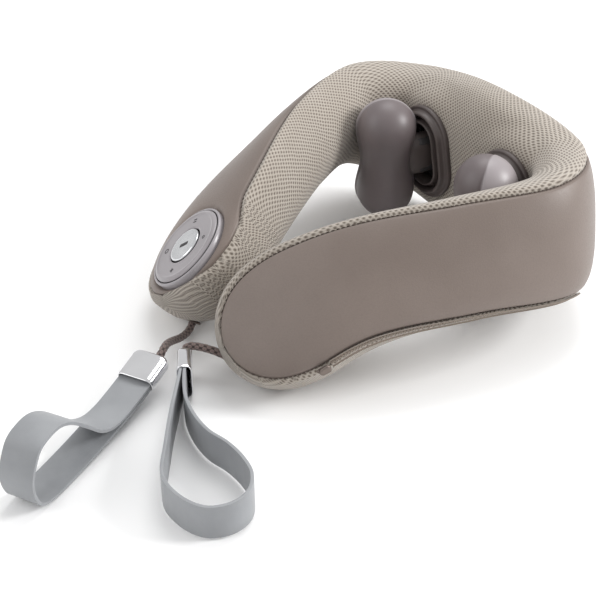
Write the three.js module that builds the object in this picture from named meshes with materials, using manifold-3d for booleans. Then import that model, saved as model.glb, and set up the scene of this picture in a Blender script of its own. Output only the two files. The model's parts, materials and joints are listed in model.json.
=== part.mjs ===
// Cordless shiatsu neck massager: a padded collar with two kneading heads, a control
// disc and two hand loops. Millimetres, +Z up, the collar stands on z = 0 and opens to -Y.
// Left is -X (the wing with the control disc), right is +X.
import * as THREE from 'three';
import { mergeVertices } from 'three/addons/utils/BufferGeometryUtils.js';
import Module from 'manifold-3d';

const wasm = await Module();
wasm.setup();

const { Vector3, Vector2 } = THREE;
const DEG = Math.PI / 180;
const v = (x, y, z) => new Vector3(x, y, z);

// ---- Driving dimensions: the collar ------------------------------------------------
// Half-collar stations from the middle of the back (0) to the wing tip (5).
const STATION_X = [0, 80, 120, 103, 68, 34];
const STATION_Y = [128, 120, 74, 1, -75, -148];
const STATION_Z = [65, 70, 80, 81, 68, 27];
const STATION_TILT = [5, -1, 18, 36, 54, 58];
const STATION_HEIGHT = [131.4, 103, 89, 82, 88, 109];
const STATION_OUTER = [20, 18, 16, 17, 14, 9];
const STATION_INNER = [33, 34, 33, 42, 45, 41];
const LAST_STATION = 5;
const TIP_LENGTH = 71;
const SECTION_POWER = 2.6;
const TOP_SEAM = 0.856;
const BOTTOM_SEAM = -0.955;
const COVER_THICKNESS = 2;
const FOAM_INSET = 3.2;
const FIT_GAP = 0.4;
const FLEX_STATION = 1.75;
const SEAM_STEP = 0.012;

// ---- Driving dimensions: kneading gear ---------------------------------------------
const SHAFT_Y = 114;
const SHAFT_Z = 70;
const SHAFT_RADIUS = 3;
const SHAFT_HALF_LENGTH = 60;
const HUB_X = 44;
const HUB_RADIUS = 10;
const HUB_WIDTH = 12;
const SWASH_ANGLE = 5 * DEG;
const RACE_GAP = 0.35;
const RACE_THICKNESS = 1;
const ARM_WIDTH = 8;
const ARM_RING_RADIUS = 15.5;
const WHEEL_TEETH = 30;
const WHEEL_PITCH_RADIUS = 10.6;
const WHEEL_WIDTH = 4.5;
const TOOTH_HEIGHT = 1.1;
const WORM_Y = 128.4;
const WORM_ROOT_RADIUS = 2.6;
const WORM_RADIUS = 3.9;
const MOTOR_RADIUS = 11.5;
const MOTOR_BOTTOM = 18;
const MOTOR_TOP = 45.5;
const CASE_HALF_LENGTH = 64;
const CASE_BOTTOM = 47;
const CASE_TOP = 93;
const CASE_FRONT = 99.6;
const CASE_SPLIT = 113;
const CASE_REAR = 137;
const CASE_WALL = 2.2;
const BOSS_RADIUS = 4.2;
const SCREW_RADIUS = 1.5;
const SCREW_HEAD_RADIUS = 3;
const SCREW_X = 24;
const SCREW_Z = [52, 88];
const BEARING_INNER_END = 55.2;
const BEARING_OUTER_END = 59.5;
const BEARING_WALL = 3;
const CLAMP_BOTTOM = 30;
const CLAMP_TOP = 38;
const RIB_RISE = 6.3;

// ---- Driving dimensions: heads and boots -------------------------------------------
const HEAD_X = 55.5;
const HEAD_Y = 63;
const HEAD_Z = 68;
const LOBE_RADIUS = 22.8;
const LOBE_OFFSET = 25;
const WAIST_RADIUS = 19;
const SKIN_THICKNESS = 3;
const NECK_WIDTH = 15;
const NECK_HEIGHT = 32;
const BOOT_X = 43;
const BOOT_FACE_Y = 95;
const BOOT_STRETCH = 11;
const BOOT_LEAN = 11.5 * DEG;
const BOOT_ROOM_RADIUS = 26.8;
const NECK_WAY_RADIUS = 9.2;
const NECK_WAY_STRETCH = 9.5;

// ---- Driving dimensions: control disc ----------------------------------------------
const POD_STATION = -4.54;
const POD_RISE = 6.5;
const BEZEL_RADIUS = 33;
const RING_RADIUS = 30.4;
const RING_HOLE = 14.6;
const BUTTON_RADIUS = 13.6;
const HOUSING_RADIUS = 30.8;
const HOUSING_DEPTH = 15;
const HOUSING_WALL = 1.6;
const BOARD_THICKNESS = 1.6;

// ---- Driving dimensions: power -----------------------------------------------------
const PORT_STATION = 0.45;
const PORT_RISE = -22;
const PORT_HALF_WIDTH = 6;
const PORT_HALF_HEIGHT = 3;
const BATTERY_STATION = 4.3;
const BATTERY_DEPTH = -15;
const BATTERY_HALF_LENGTH = 30;
const BATTERY_HALF_WIDTH = 17;
const BATTERY_THICKNESS = 18;

// ---- Driving dimensions: the zip ---------------------------------------------------
const ZIP_FROM = 1.9;
const ZIP_TO = 4.3;
const ZIP_ANGLE = 166 * DEG;
const ZIP_HALF_ANGLE = 4.2 * DEG;
const TAPE_RAISE = [0.6, 1.4];
const SLIDER_STATION = 4.36;
const SLIDER_RAISE = 4;

// ---- Driving dimensions: cords, clasps and hand loops ------------------------------
const CORD_DIAMETER = 5.6;
const CORD_SIDES = 10;
const CORD_STEPS = 20;
const EYELET_RADIUS = 6.2;
const STRAP_WIDTH = 24;
const STRAP_THICKNESS = 2;
const RIBBON_STEPS = 5;
const CLASP_LENGTH = 24;
const CLASP_WIDTH = 26.4;
const CLASP_THICKNESS = 10.4;
const CLASP_CORNER = 5;
const CLASP_WALL = 0.9;
const CLASP_SOCKET = 14;
const CLASP_BORE_RISE = 3.5;

// ---- Solids ------------------------------------------------------------------------

// The six-fold volume under a geometry's faces, negative when they point inwards.
function signedVolume(geometry) {
  const p = geometry.attributes.position;
  const index = geometry.index;
  const a = v();
  const b = v();
  const c = v();
  let sum = 0;
  for (let i = 0; i < index.count; i += 3) {
    a.fromBufferAttribute(p, index.getX(i));
    b.fromBufferAttribute(p, index.getX(i + 1));
    c.fromBufferAttribute(p, index.getX(i + 2));
    sum += a.dot(b.cross(c));
  }
  return sum;
}

// A closed geometry with shared vertices and its faces turned outwards.
function closed(geometry) {
  const bare = geometry.clone();
  bare.deleteAttribute('normal');
  bare.deleteAttribute('uv');
  const merged = mergeVertices(bare, 1e-4);
  const index = merged.index.array;
  const kept = [];
  for (let i = 0; i < index.length; i += 3) {
    const [a, b, c] = [index[i], index[i + 1], index[i + 2]];
    if (a !== b && b !== c && a !== c) kept.push(a, b, c);
  }
  merged.setIndex(kept);
  if (signedVolume(merged) < 0) {
    for (let i = 0; i < kept.length; i += 3) [kept[i], kept[i + 1]] = [kept[i + 1], kept[i]];
    merged.setIndex(kept);
  }
  return merged;
}

function toSolid(geometry) {
  const mesh = closed(geometry);
  return new wasm.Manifold(new wasm.Mesh({
    numProp: 3,
    vertProperties: Float32Array.from(mesh.attributes.position.array),
    triVerts: Uint32Array.from(mesh.index.array),
  }));
}

function toGeometry(solid) {
  const mesh = solid.getMesh();
  const geometry = new THREE.BufferGeometry();
  geometry.setAttribute('position', new THREE.BufferAttribute(mesh.vertProperties, 3));
  geometry.setIndex(new THREE.BufferAttribute(mesh.triVerts, 1));
  return geometry;
}

function join(...pieces) {
  return toGeometry(pieces.slice(1).reduce((sum, piece) => sum.add(toSolid(piece)), toSolid(pieces[0])));
}

function cut(body, ...tools) {
  return toGeometry(tools.reduce((rest, tool) => rest.subtract(toSolid(tool)), toSolid(body)));
}

// Rings of points joined into one closed body, with a fan over each end.
function loft(rings) {
  const count = rings[0].length;
  const positions = rings.flat().flatMap((point) => point.toArray());
  const index = [];
  for (let i = 0; i + 1 < rings.length; i++) {
    for (let j = 0; j < count; j++) {
      const a = i * count + j;
      const b = i * count + (j + 1) % count;
      index.push(a, b, a + count, b, b + count, a + count);
    }
  }
  for (const [ring, turn] of [[0, 1], [rings.length - 1, -1]]) {
    const middle = rings[ring].reduce((sum, point) => sum.add(point), v()).divideScalar(count);
    const hub = positions.length / 3;
    positions.push(...middle.toArray());
    for (let j = 0; j < count; j++) {
      const a = ring * count + j;
      const b = ring * count + (j + 1) % count;
      index.push(...(turn > 0 ? [hub, b, a] : [hub, a, b]));
    }
  }
  const geometry = new THREE.BufferGeometry();
  geometry.setAttribute('position', new THREE.Float32BufferAttribute(positions, 3));
  geometry.setIndex(index);
  return closed(geometry);
}

// Two grids of points, one behind the other, stitched round their rims into a thick sheet.
function thickSheet(front, back) {
  const rows = front.length;
  const columns = front[0].length;
  const size = rows * columns;
  const positions = [...front.flat(), ...back.flat()].flatMap((point) => point.toArray());
  const index = [];
  const quad = (a, b, c, d) => index.push(a, b, c, a, c, d);
  for (let i = 0; i + 1 < rows; i++) {
    for (let j = 0; j + 1 < columns; j++) {
      const a = i * columns + j;
      quad(a, a + 1, a + columns + 1, a + columns);
      quad(size + a, size + a + columns, size + a + columns + 1, size + a + 1);
    }
  }
  for (let i = 0; i + 1 < rows; i++) {
    const first = i * columns;
    const last = first + columns - 1;
    quad(first, first + columns, size + first + columns, size + first);
    quad(last, size + last, size + last + columns, last + columns);
  }
  for (let j = 0; j + 1 < columns; j++) {
    const last = (rows - 1) * columns + j;
    quad(j, size + j, size + j + 1, j + 1);
    quad(last, last + 1, size + last + 1, size + last);
  }
  const geometry = new THREE.BufferGeometry();
  geometry.setAttribute('position', new THREE.Float32BufferAttribute(positions, 3));
  geometry.setIndex(index);
  return closed(geometry);
}

// A turned body about +Z from [radius, height] pairs that start and end on the axis or
// close on themselves.
function turned(pairs, segments = 24) {
  const points = pairs.map(([r, z]) => new Vector2(r, z));
  return new THREE.LatheGeometry(points, segments).rotateX(Math.PI / 2);
}

function disc(radius, bottom, top, segments = 24) {
  return turned([[0, bottom], [radius, bottom], [radius, top], [0, top]], segments);
}

function washer(inner, outer, bottom, top, segments = 24) {
  return turned([[inner, bottom], [outer, bottom], [outer, top], [inner, top], [inner, bottom]], segments);
}

// A turned body pulled apart along Y by a straight stretch on each side: an oval.
function oval(pairs, stretch, segments = 24) {
  const points = pairs.map(([r, z]) => new Vector2(r, z));
  const geometry = new THREE.LatheGeometry(points, segments, Math.PI / segments);
  geometry.rotateX(Math.PI / 2);
  const p = geometry.attributes.position;
  for (let i = 0; i < p.count; i++) {
    const y = p.getY(i);
    if (Math.abs(y) > 1e-4) p.setY(i, y + Math.sign(y) * stretch);
  }
  return geometry;
}

function block(low, high) {
  const size = high.map((value, k) => value - low[k]);
  const middle = high.map((value, k) => (value + low[k]) / 2);
  return new THREE.BoxGeometry(...size).translate(...middle);
}

const placed = (geometry, matrix) => geometry.clone().applyMatrix4(matrix);

const frameMatrix = (x, y, z, origin) => new THREE.Matrix4().makeBasis(x, y, z).setPosition(origin);

// A round tube along points, drawn as an extruded section.
function tube(points, diameter, sides, steps) {
  const path = new THREE.CatmullRomCurve3(points, false, 'centripetal');
  const section = new THREE.Shape();
  for (let k = 0; k < sides; k++) {
    const angle = (k / sides) * 2 * Math.PI;
    const x = Math.cos(angle) * diameter / 2;
    const y = Math.sin(angle) * diameter / 2;
    if (k === 0) section.moveTo(x, y);
    else section.lineTo(x, y);
  }
  section.closePath();
  return new THREE.ExtrudeGeometry(section, { steps, bevelEnabled: false, extrudePath: path });
}

// ---- The collar's surface ----------------------------------------------------------
const mirrored = (half, sign) => [...half.slice(1).reverse().map((value) => sign * value), ...half];
const spine = mirrored(STATION_X, -1).map(
  (x, k) => v(x, mirrored(STATION_Y, 1)[k], mirrored(STATION_Z, 1)[k]));
const sizes = mirrored(STATION_HEIGHT, 1).map(
  (h, k) => v(h, mirrored(STATION_OUTER, 1)[k], mirrored(STATION_INNER, 1)[k]));
const tilts = mirrored(STATION_TILT, 1).map((tilt) => v(tilt * DEG, 0, 0));
const spineCurve = new THREE.CatmullRomCurve3(spine, false, 'catmullrom', 0.5);
const sizeCurve = new THREE.CatmullRomCurve3(sizes, false, 'catmullrom', 0.5);
const tiltCurve = new THREE.CatmullRomCurve3(tilts, false, 'catmullrom', 0.5);

const at = (curve, s) => curve.getPoint((s + LAST_STATION) / (2 * LAST_STATION));

// Distance along the spine from a station to the nearer tip.
function distanceToTip(s) {
  const steps = 40;
  let length = 0;
  const from = Math.abs(s);
  for (let k = 0; k < steps; k++) {
    const a = at(spineCurve, from + (LAST_STATION - from) * (k / steps));
    const b = at(spineCurve, from + (LAST_STATION - from) * ((k + 1) / steps));
    length += a.distanceTo(b);
  }
  return length;
}

// The collar's cross-section at a station: its middle, directions and sizes.
function sectionAt(s) {
  const step = 0.02;
  const middle = at(spineCurve, s);
  const ahead = at(spineCurve, Math.min(s + step, LAST_STATION));
  const behind = at(spineCurve, Math.max(s - step, -LAST_STATION));
  const along = ahead.sub(behind).normalize();
  const rise = v(0, 0, 1).addScaledVector(along, -along.z).normalize();
  const flatOut = rise.clone().cross(along);
  const tilt = at(tiltCurve, s).x;
  const up = rise.clone().multiplyScalar(Math.cos(tilt)).addScaledVector(flatOut, -Math.sin(tilt));
  const out = flatOut.clone().multiplyScalar(Math.cos(tilt)).addScaledVector(rise, Math.sin(tilt));
  const size = at(sizeCurve, s);
  const q = Math.min(Math.max(1 - distanceToTip(s) / TIP_LENGTH, 0), 1);
  const narrow = Math.sqrt(Math.max(1 - q ** 6, 0));
  return {
    middle, along, up, out,
    half: (size.x / 2) * Math.sqrt(Math.max(1 - q ** 2.2, 0)),
    outer: size.y * narrow,
    inner: size.z * narrow,
  };
}

// A point of the collar's surface: the angle runs from the top (0) over the outer face
// (90) and the bottom (180) to the inner face (270); inset is the depth below the cover.
function surfacePoint(section, angle, inset) {
  const power = 2 / SECTION_POWER;
  const c = Math.cos(angle);
  const s = Math.sin(angle);
  const half = Math.max(section.half - inset, 0.6);
  const depth = Math.max((s > 0 ? section.outer : section.inner) - inset, 0.6);
  return section.middle.clone()
    .addScaledVector(section.up, Math.sign(c) * Math.abs(c) ** power * half)
    .addScaledVector(section.out, Math.sign(s) * Math.abs(s) ** power * depth);
}

const seamAngle = (height) => Math.acos(Math.sign(height) * Math.abs(height) ** (SECTION_POWER / 2));
const TOP_ANGLE = seamAngle(TOP_SEAM);
const BOTTOM_ANGLE = seamAngle(BOTTOM_SEAM);
const spread = (from, to, steps) => Array.from(
  { length: steps + 1 }, (_, k) => from + (to - from) * (k / steps));

const backStations = spread(-FLEX_STATION + SEAM_STEP / 2, FLEX_STATION - SEAM_STEP / 2, 12);
const wingStations = [FLEX_STATION + SEAM_STEP / 2, 2, 2.3, 2.6, 3, 3.4, 3.8, 4.15, 4.45, 4.68, 4.83, 4.92,
  4.975];
const sideStations = (side) => wingStations.map((s) => s * side);
const SEAM_ANGLE = 0.6 * DEG;

// A cover strip over a range of stations and angles.
function cover(stations, fromAngle, toAngle, steps) {
  const angles = spread(fromAngle, toAngle, steps);
  const sections = stations.map(sectionAt);
  const grid = (inset) => sections.map(
    (section) => angles.map((angle) => surfacePoint(section, angle, inset)));
  return thickSheet(grid(0), grid(COVER_THICKNESS));
}

const leather = (stations) => cover(stations, TOP_ANGLE + SEAM_ANGLE, BOTTOM_ANGLE - SEAM_ANGLE, 7);
const knit = (stations) => cover(
  stations, BOTTOM_ANGLE + SEAM_ANGLE, TOP_ANGLE + 2 * Math.PI - SEAM_ANGLE, 13);

// The foam inside the covers, a loft with the covers' own stations.
function foam(stations) {
  const angles = spread(0, 2 * Math.PI, 14).slice(0, -1);
  return loft(stations.map((s) => {
    const section = sectionAt(s);
    return angles.map((angle) => surfacePoint(section, angle, FOAM_INSET));
  }));
}

// A strip through the middle of a wing, thin across and tall along the section.
function coreStrip(stations, halfHeight, halfThickness) {
  const steps = spread(-1, 1, 8);
  const outline = [...steps.map((i) => [i, -1]), ...[...steps].reverse().map((i) => [i, 1])];
  return loft(stations.map((s) => {
    const { middle, up, out } = sectionAt(s);
    return outline.map(([i, j]) => middle.clone()
      .addScaledVector(up, i * halfHeight).addScaledVector(out, j * halfThickness));
  }));
}

// The matrix of a place on the collar: x along the tip-ward right-hand side, y up the
// section, z out of the cover, shifted by a rise along y and a depth along z.
function placeOn(s, rise, depth) {
  const { middle, up, out } = sectionAt(s);
  const origin = middle.clone().addScaledVector(up, rise).addScaledVector(out, depth);
  return frameMatrix(up.clone().cross(out), up, out, origin);
}

// ---- Materials ---------------------------------------------------------------------
const finish = (color, roughness, metalness = 0) => ({ color, roughness, metalness });
const LEATHER = finish(0x8f837e, 0.5);
const KNIT = finish(0xc4b9b0, 0.95);
const FOAM = finish(0xe8e0c8, 1);
const CASE = finish(0x3a3a3c, 0.6);
const STEEL = finish(0xb4b6b8, 0.35, 1);
const BRASS = finish(0xb08d57, 0.4, 1);
const HEAD = finish(0x5c5355, 0.55);
const BOOT = finish(0x4a4241, 0.7);
const DISC = finish(0xcfcbd1, 0.45);
const RIM = finish(0x938c8c, 0.4);
const CHROME = finish(0xd8d8da, 0.1, 1);
const CORD = finish(0x5f514f, 0.9);
const STRAP = finish(0xbebdc0, 0.6);
const BOARD = finish(0x2c5a3a, 0.6);

const group = new THREE.Group();
group.name = 'neck_massager';

function add(name, geometry, look) {
  const mesh = new THREE.Mesh(closed(geometry), new THREE.MeshStandardMaterial(look));
  mesh.name = name;
  group.add(mesh);
}

// ---- Kneading gear -----------------------------------------------------------------
const sideName = (side) => (side < 0 ? 'left' : 'right');
const alongX = new THREE.Matrix4().makeRotationY(Math.PI / 2).setPosition(0, SHAFT_Y, SHAFT_Z);

// Shaft parts are turned about +Z and laid along +X at a distance from the middle.
const onShaft = (geometry, x) => placed(geometry, alongX).translate(x, 0, 0);

// The hub's axis leans towards the rear on the outside, by the swash angle.
function onHub(geometry, side) {
  const lean = new THREE.Matrix4().makeRotationZ(side * SWASH_ANGLE);
  const turn = new THREE.Matrix4().makeRotationY(Math.PI / 2);
  const place = new THREE.Matrix4().makeTranslation(side * HUB_X, SHAFT_Y, SHAFT_Z);
  return placed(geometry, place.multiply(lean).multiply(turn));
}

function wormWheel() {
  const outer = WHEEL_PITCH_RADIUS + TOOTH_HEIGHT / 2;
  const root = WHEEL_PITCH_RADIUS - TOOTH_HEIGHT / 2;
  const pitch = (2 * Math.PI) / WHEEL_TEETH;
  const shape = new THREE.Shape();
  for (let k = 0; k < WHEEL_TEETH; k++) {
    const middle = k * pitch;
    for (const [radius, offset] of [[root, -0.22], [outer, -0.1], [outer, 0.1], [root, 0.22]]) {
      const angle = middle + offset * pitch;
      const point = [radius * Math.cos(angle), radius * Math.sin(angle)];
      if (k === 0 && offset === -0.22) shape.moveTo(...point);
      else shape.lineTo(...point);
    }
  }
  shape.closePath();
  const bore = new THREE.Path();
  bore.absarc(0, 0, SHAFT_RADIUS + FIT_GAP, 0, 2 * Math.PI, true);
  shape.holes.push(bore);
  const options = { depth: WHEEL_WIDTH, bevelEnabled: false, curveSegments: 12 };
  const wheel = new THREE.ExtrudeGeometry(shape, options);
  return wheel.translate(0, 0, -WHEEL_WIDTH / 2);
}

// The worm: a thin helical ridge on a round core, one wheel tooth per turn.
function worm() {
  const lead = (2 * Math.PI * WHEEL_PITCH_RADIUS) / WHEEL_TEETH;
  const turns = 4;
  const perTurn = 9;
  const ridge = [];
  for (let k = 0; k <= turns * perTurn; k++) {
    const angle = (k / perTurn) * 2 * Math.PI;
    const height = (k / perTurn - turns / 2) * lead;
    const corners = [[WORM_ROOT_RADIUS - 0.6, -0.4], [WORM_RADIUS, -0.2], [WORM_RADIUS, 0.2],
      [WORM_ROOT_RADIUS - 0.6, 0.4]];
    ridge.push(corners.map(([r, z]) => v(r * Math.cos(angle), r * Math.sin(angle), height + z)));
  }
  const shaft = disc(WORM_ROOT_RADIUS, MOTOR_TOP + 1 - SHAFT_Z, 14, 16);
  return join(shaft, loft(ridge));
}

const screwPlaces = SCREW_Z.flatMap((z) => [[-SCREW_X, z], [SCREW_X, z]]);

function gearCase() {
  const holes = [];
  for (const side of [-1, 1]) {
    holes.push(bootPlaced(oval([[0, -20], [14, -20], [14, 20], [0, 20]], 4.4, 20), side));
    const end = disc(SHAFT_RADIUS + BEARING_WALL + FIT_GAP, -7.5, 7.5, 20);
    holes.push(onShaft(end, side * (CASE_HALF_LENGTH - 1.5)));
  }
  const inside = [CASE_HALF_LENGTH - CASE_WALL, CASE_TOP - CASE_WALL, CASE_BOTTOM + CASE_WALL];
  const room = block([-inside[0], CASE_FRONT + CASE_WALL, inside[2]],
    [inside[0], CASE_REAR - CASE_WALL, inside[1]]);
  const screwHole = (x, z) => disc(SCREW_RADIUS + FIT_GAP, CASE_FRONT + 4, CASE_REAR + 2, 8)
    .rotateX(-Math.PI / 2).translate(x, 0, z);
  const boss = (x, z, from, to) => disc(BOSS_RADIUS, from, to, 8).rotateX(-Math.PI / 2).translate(x, 0, z);
  const half = (from, to) => {
    let shell = cut(block([-CASE_HALF_LENGTH, from, CASE_BOTTOM], [CASE_HALF_LENGTH, to, CASE_TOP]), room);
    const corners = screwPlaces.map(([x, z]) => boss(x, z, from, to));
    shell = join(shell, ...corners);
    return cut(shell, ...screwPlaces.map(([x, z]) => screwHole(x, z)), ...holes);
  };
  const front = half(CASE_FRONT, CASE_SPLIT - FIT_GAP / 2);
  let rear = half(CASE_SPLIT + FIT_GAP / 2, CASE_REAR);
  const ribs = [];
  for (const side of [-1, 1]) {
    for (const edge of [-1, 1]) {
      const x = side * HUB_X;
      const z = SHAFT_Z + edge * RIB_RISE;
      ribs.push(block([x - 9, 130, z - 1], [x + 9, CASE_REAR - 1, z + 1]));
    }
  }
  const wormHole = disc(WORM_ROOT_RADIUS + 0.8, 40, 60, 20).translate(0, WORM_Y, 0);
  rear = cut(join(rear, ...ribs), wormHole);
  return { front, rear };
}

const caseHalves = gearCase();
add('gearbox_front', caseHalves.front, CASE);
add('gearbox_rear', caseHalves.rear, CASE);
screwPlaces.forEach(([x, z], k) => {
  const under = CASE_REAR + 0.3;
  const screw = turned([[0, CASE_FRONT + 6], [SCREW_RADIUS, CASE_FRONT + 6], [SCREW_RADIUS, under],
    [SCREW_HEAD_RADIUS, under], [SCREW_HEAD_RADIUS, under + 1.2], [0, under + 1.2]], 8);
  add(`gearbox_screw_${k + 1}`, screw.rotateX(-Math.PI / 2).translate(x, 0, z), STEEL);
});
add('main_shaft', onShaft(disc(SHAFT_RADIUS, -SHAFT_HALF_LENGTH, SHAFT_HALF_LENGTH, 16), 0), STEEL);
add('worm_wheel', onShaft(wormWheel(), 0), BRASS);
add('motor_worm', worm().rotateZ(-Math.PI / 2).translate(0, WORM_Y, SHAFT_Z), STEEL);
const motorProfile = [[0, MOTOR_BOTTOM], [MOTOR_RADIUS - 1, MOTOR_BOTTOM], [MOTOR_RADIUS, MOTOR_BOTTOM + 1],
  [MOTOR_RADIUS, MOTOR_TOP - 1], [MOTOR_RADIUS - 1, MOTOR_TOP], [0, MOTOR_TOP]];
add('motor_can', turned(motorProfile, 24).translate(0, WORM_Y, 0), STEEL);
const clampRing = washer(MOTOR_RADIUS + FIT_GAP, MOTOR_RADIUS + 1.9, CLAMP_BOTTOM, CLAMP_TOP, 24);
add('motor_clamp', clampRing.translate(0, WORM_Y, 0), CASE);
for (const side of [-1, 1]) {
  const halfWidth = (BEARING_OUTER_END - BEARING_INNER_END) / 2;
  const bearing = washer(SHAFT_RADIUS + FIT_GAP, SHAFT_RADIUS + BEARING_WALL, -halfWidth, halfWidth, 14);
  add(`shaft_bearing_${sideName(side)}`, onShaft(bearing, side * (BEARING_OUTER_END - halfWidth)), STEEL);
  const bore = disc(SHAFT_RADIUS + FIT_GAP, -20, 20, 16);
  const blank = onHub(disc(HUB_RADIUS, -HUB_WIDTH / 2, HUB_WIDTH / 2, 20), side);
  const hub = cut(blank, onShaft(bore, side * HUB_X));
  add(`${sideName(side)}_swash_hub`, hub, CASE);
  const raceHole = HUB_RADIUS + RACE_GAP;
  const race = washer(raceHole, raceHole + RACE_THICKNESS, -ARM_WIDTH / 2, ARM_WIDTH / 2, 20);
  add(`${sideName(side)}_hub_bearing`, onHub(race, side), STEEL);
}

// ---- Heads, arms and boots ---------------------------------------------------------

// The peanut outline of a head about its upright axis, shrunk by an inset.
function peanut(inset, segments = 16) {
  const pairs = [];
  const radius = LOBE_RADIUS - inset;
  const steps = 5;
  for (let k = 0; k <= steps; k++) {
    const angle = -Math.PI / 2 + (k / steps) * (Math.PI * 0.6);
    pairs.push([Math.max(radius * Math.cos(angle), 0), -LOBE_OFFSET + radius * Math.sin(angle)]);
  }
  pairs[0][0] = 0;
  const waist = WAIST_RADIUS - inset;
  const upper = pairs.map(([r, z]) => [r, -z]).reverse();
  return turned([...pairs, [waist, -5], [waist, 5], ...upper], segments);
}

const neckPath = [v(HUB_X, 101, SHAFT_Z), v(HUB_X + 1, 90, 69.5), v(HUB_X + 4.5, 82, 69),
  v(HUB_X + 10, 72, 68.5)];

// The neck: an upright oval bar from the hub ring, straight through the boot and then
// outwards into the head.
function neck(side) {
  const sides = 12;
  const straight = (NECK_HEIGHT - NECK_WIDTH) / 2;
  const path = new THREE.CatmullRomCurve3(neckPath, false, 'centripetal');
  const rings = [];
  const steps = 5;
  for (let k = 0; k <= steps; k++) {
    const middle = path.getPoint(k / steps);
    const along = path.getTangent(k / steps);
    const across = v(-along.y, along.x, 0).normalize();
    const upright = v(Math.sin(BOOT_LEAN) * 0.5, 0, 1).normalize();
    const ring = [];
    for (let j = 0; j < sides; j++) {
      const angle = ((j + 0.5) / sides) * 2 * Math.PI;
      const height = Math.sin(angle) * NECK_WIDTH / 2 + Math.sign(Math.sin(angle)) * straight;
      const point = middle.clone().addScaledVector(across, Math.cos(angle) * NECK_WIDTH / 2)
        .addScaledVector(upright, height);
      point.x *= side;
      ring.push(point);
    }
    rings.push(ring);
  }
  return loft(rings);
}

const headPlaced = (geometry, side) => geometry.clone().translate(side * HEAD_X, HEAD_Y, HEAD_Z);

function arm(side) {
  const ring = onHub(disc(ARM_RING_RADIUS, -ARM_WIDTH / 2, ARM_WIDTH / 2, 20), side);
  const pin = disc(1.9, 12, 19.5, 8).rotateX(-Math.PI / 2).translate(side * HUB_X, SHAFT_Y, SHAFT_Z);
  const whole = join(ring, neck(side), pin);
  const bore = onHub(disc(HUB_RADIUS + RACE_THICKNESS + 2 * RACE_GAP + 0.05, -20, 20, 20), side);
  return cut(whole, bore, headPlaced(peanut(SKIN_THICKNESS + 0.1), side));
}

// The way of the neck through the head's skin.
function neckWay(side) {
  const way = oval([[0, -16], [NECK_WAY_RADIUS, -16], [NECK_WAY_RADIUS, 12], [0, 12]], NECK_WAY_STRETCH, 20);
  const out = v(-side * 0.5, 0.866, 0);
  const upright = v(0, 0, 1);
  const from = v(side * (HUB_X + 6), 80, 69);
  return placed(way, frameMatrix(upright.clone().cross(out), upright, out, from));
}

// Boots are turned about +Z and set on the inner face of the back, leaning outwards.
function bootPlaced(geometry, side) {
  const place = new THREE.Matrix4().makeTranslation(side * BOOT_X, BOOT_FACE_Y, SHAFT_Z);
  const lean = new THREE.Matrix4().makeRotationY(side * BOOT_LEAN);
  const face = new THREE.Matrix4().makeRotationX(Math.PI / 2);
  return placed(geometry, place.multiply(lean).multiply(face));
}

// Radius and height pairs of the boot's two rings.
const FLANGE_PROFILE = [[21, -3.8], [24.6, -3.8], [24.6, 1.4], [26.2, 2], [26, 4], [21.6, 4.9], [20.6, 8.2],
  [18.9, 8.2], [18.4, 0.5], [21, -3.8]];
const BELLOWS_PROFILE = [[17.9, 1], [17.9, 4], [16.2, 4.8], [14.9, 8.6], [13.5, 8.6], [13.2, 3.8], [15.4, 1],
  [17.9, 1]];

for (const side of [-1, 1]) {
  const name = sideName(side);
  add(`${name}_boot_flange`, bootPlaced(oval(FLANGE_PROFILE, BOOT_STRETCH, 20), side), BOOT);
  add(`${name}_boot_bellows`, bootPlaced(oval(BELLOWS_PROFILE, BOOT_STRETCH, 18), side), BOOT);
  add(`${name}_arm`, arm(side), CASE);
  add(`${name}_head_core`, headPlaced(peanut(SKIN_THICKNESS + 0.5, 12), side), CASE);
  const skin = cut(peanut(0), peanut(SKIN_THICKNESS));
  add(`${name}_head_skin`, cut(headPlaced(skin, side), neckWay(side)), HEAD);
}

// ---- Back covers, foam and electronics ---------------------------------------------
const bootHole = (side, radius) => bootPlaced(
  oval([[0, -30], [radius, -30], [radius, 30], [0, 30]], BOOT_STRETCH, 20), side);
const floor = block([-300, -400, -30], [300, 400, 0]);
const portPlace = placeOn(PORT_STATION, PORT_RISE, 0);
const portDepth = sectionAt(PORT_STATION).outer;
const portBlock = (grow, from, to) => placed(
  block([-PORT_HALF_WIDTH - grow, -PORT_HALF_HEIGHT - grow, portDepth + from],
    [PORT_HALF_WIDTH + grow, PORT_HALF_HEIGHT + grow, portDepth + to]), portPlace);

const bootHoles = (radius) => [bootHole(-1, radius), bootHole(1, radius)];
add('mesh_cover_back', cut(knit(backStations), ...bootHoles(BOOT_ROOM_RADIUS), floor), KNIT);
add('leather_cover_back', cut(leather(backStations), portBlock(0.5, -8, 8)), LEATHER);
const gearRoom = block([-65, 60, CASE_BOTTOM - 1.5], [65, CASE_REAR + 6.5, CASE_TOP + 1.5]);
const motorRoom = disc(MOTOR_RADIUS + 3, MOTOR_BOTTOM - 2, 60, 20).translate(0, WORM_Y, 0);
const backFoam = cut(foam(backStations), gearRoom, motorRoom, ...bootHoles(BOOT_ROOM_RADIUS + 0.2),
  portBlock(0.5, -10, 8));
add('foam_back', backFoam, FOAM);
add('main_pcb', block([-30, CASE_REAR + 3, 55], [30, CASE_REAR + 3 + BOARD_THICKNESS, 87]), BOARD);
const slot = placed(block([-4.4, -1.5, portDepth - 5], [4.4, 1.5, portDepth + 3]), portPlace);
add('charge_port', cut(portBlock(0, -8.5, 0.2), slot), CASE);

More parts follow.
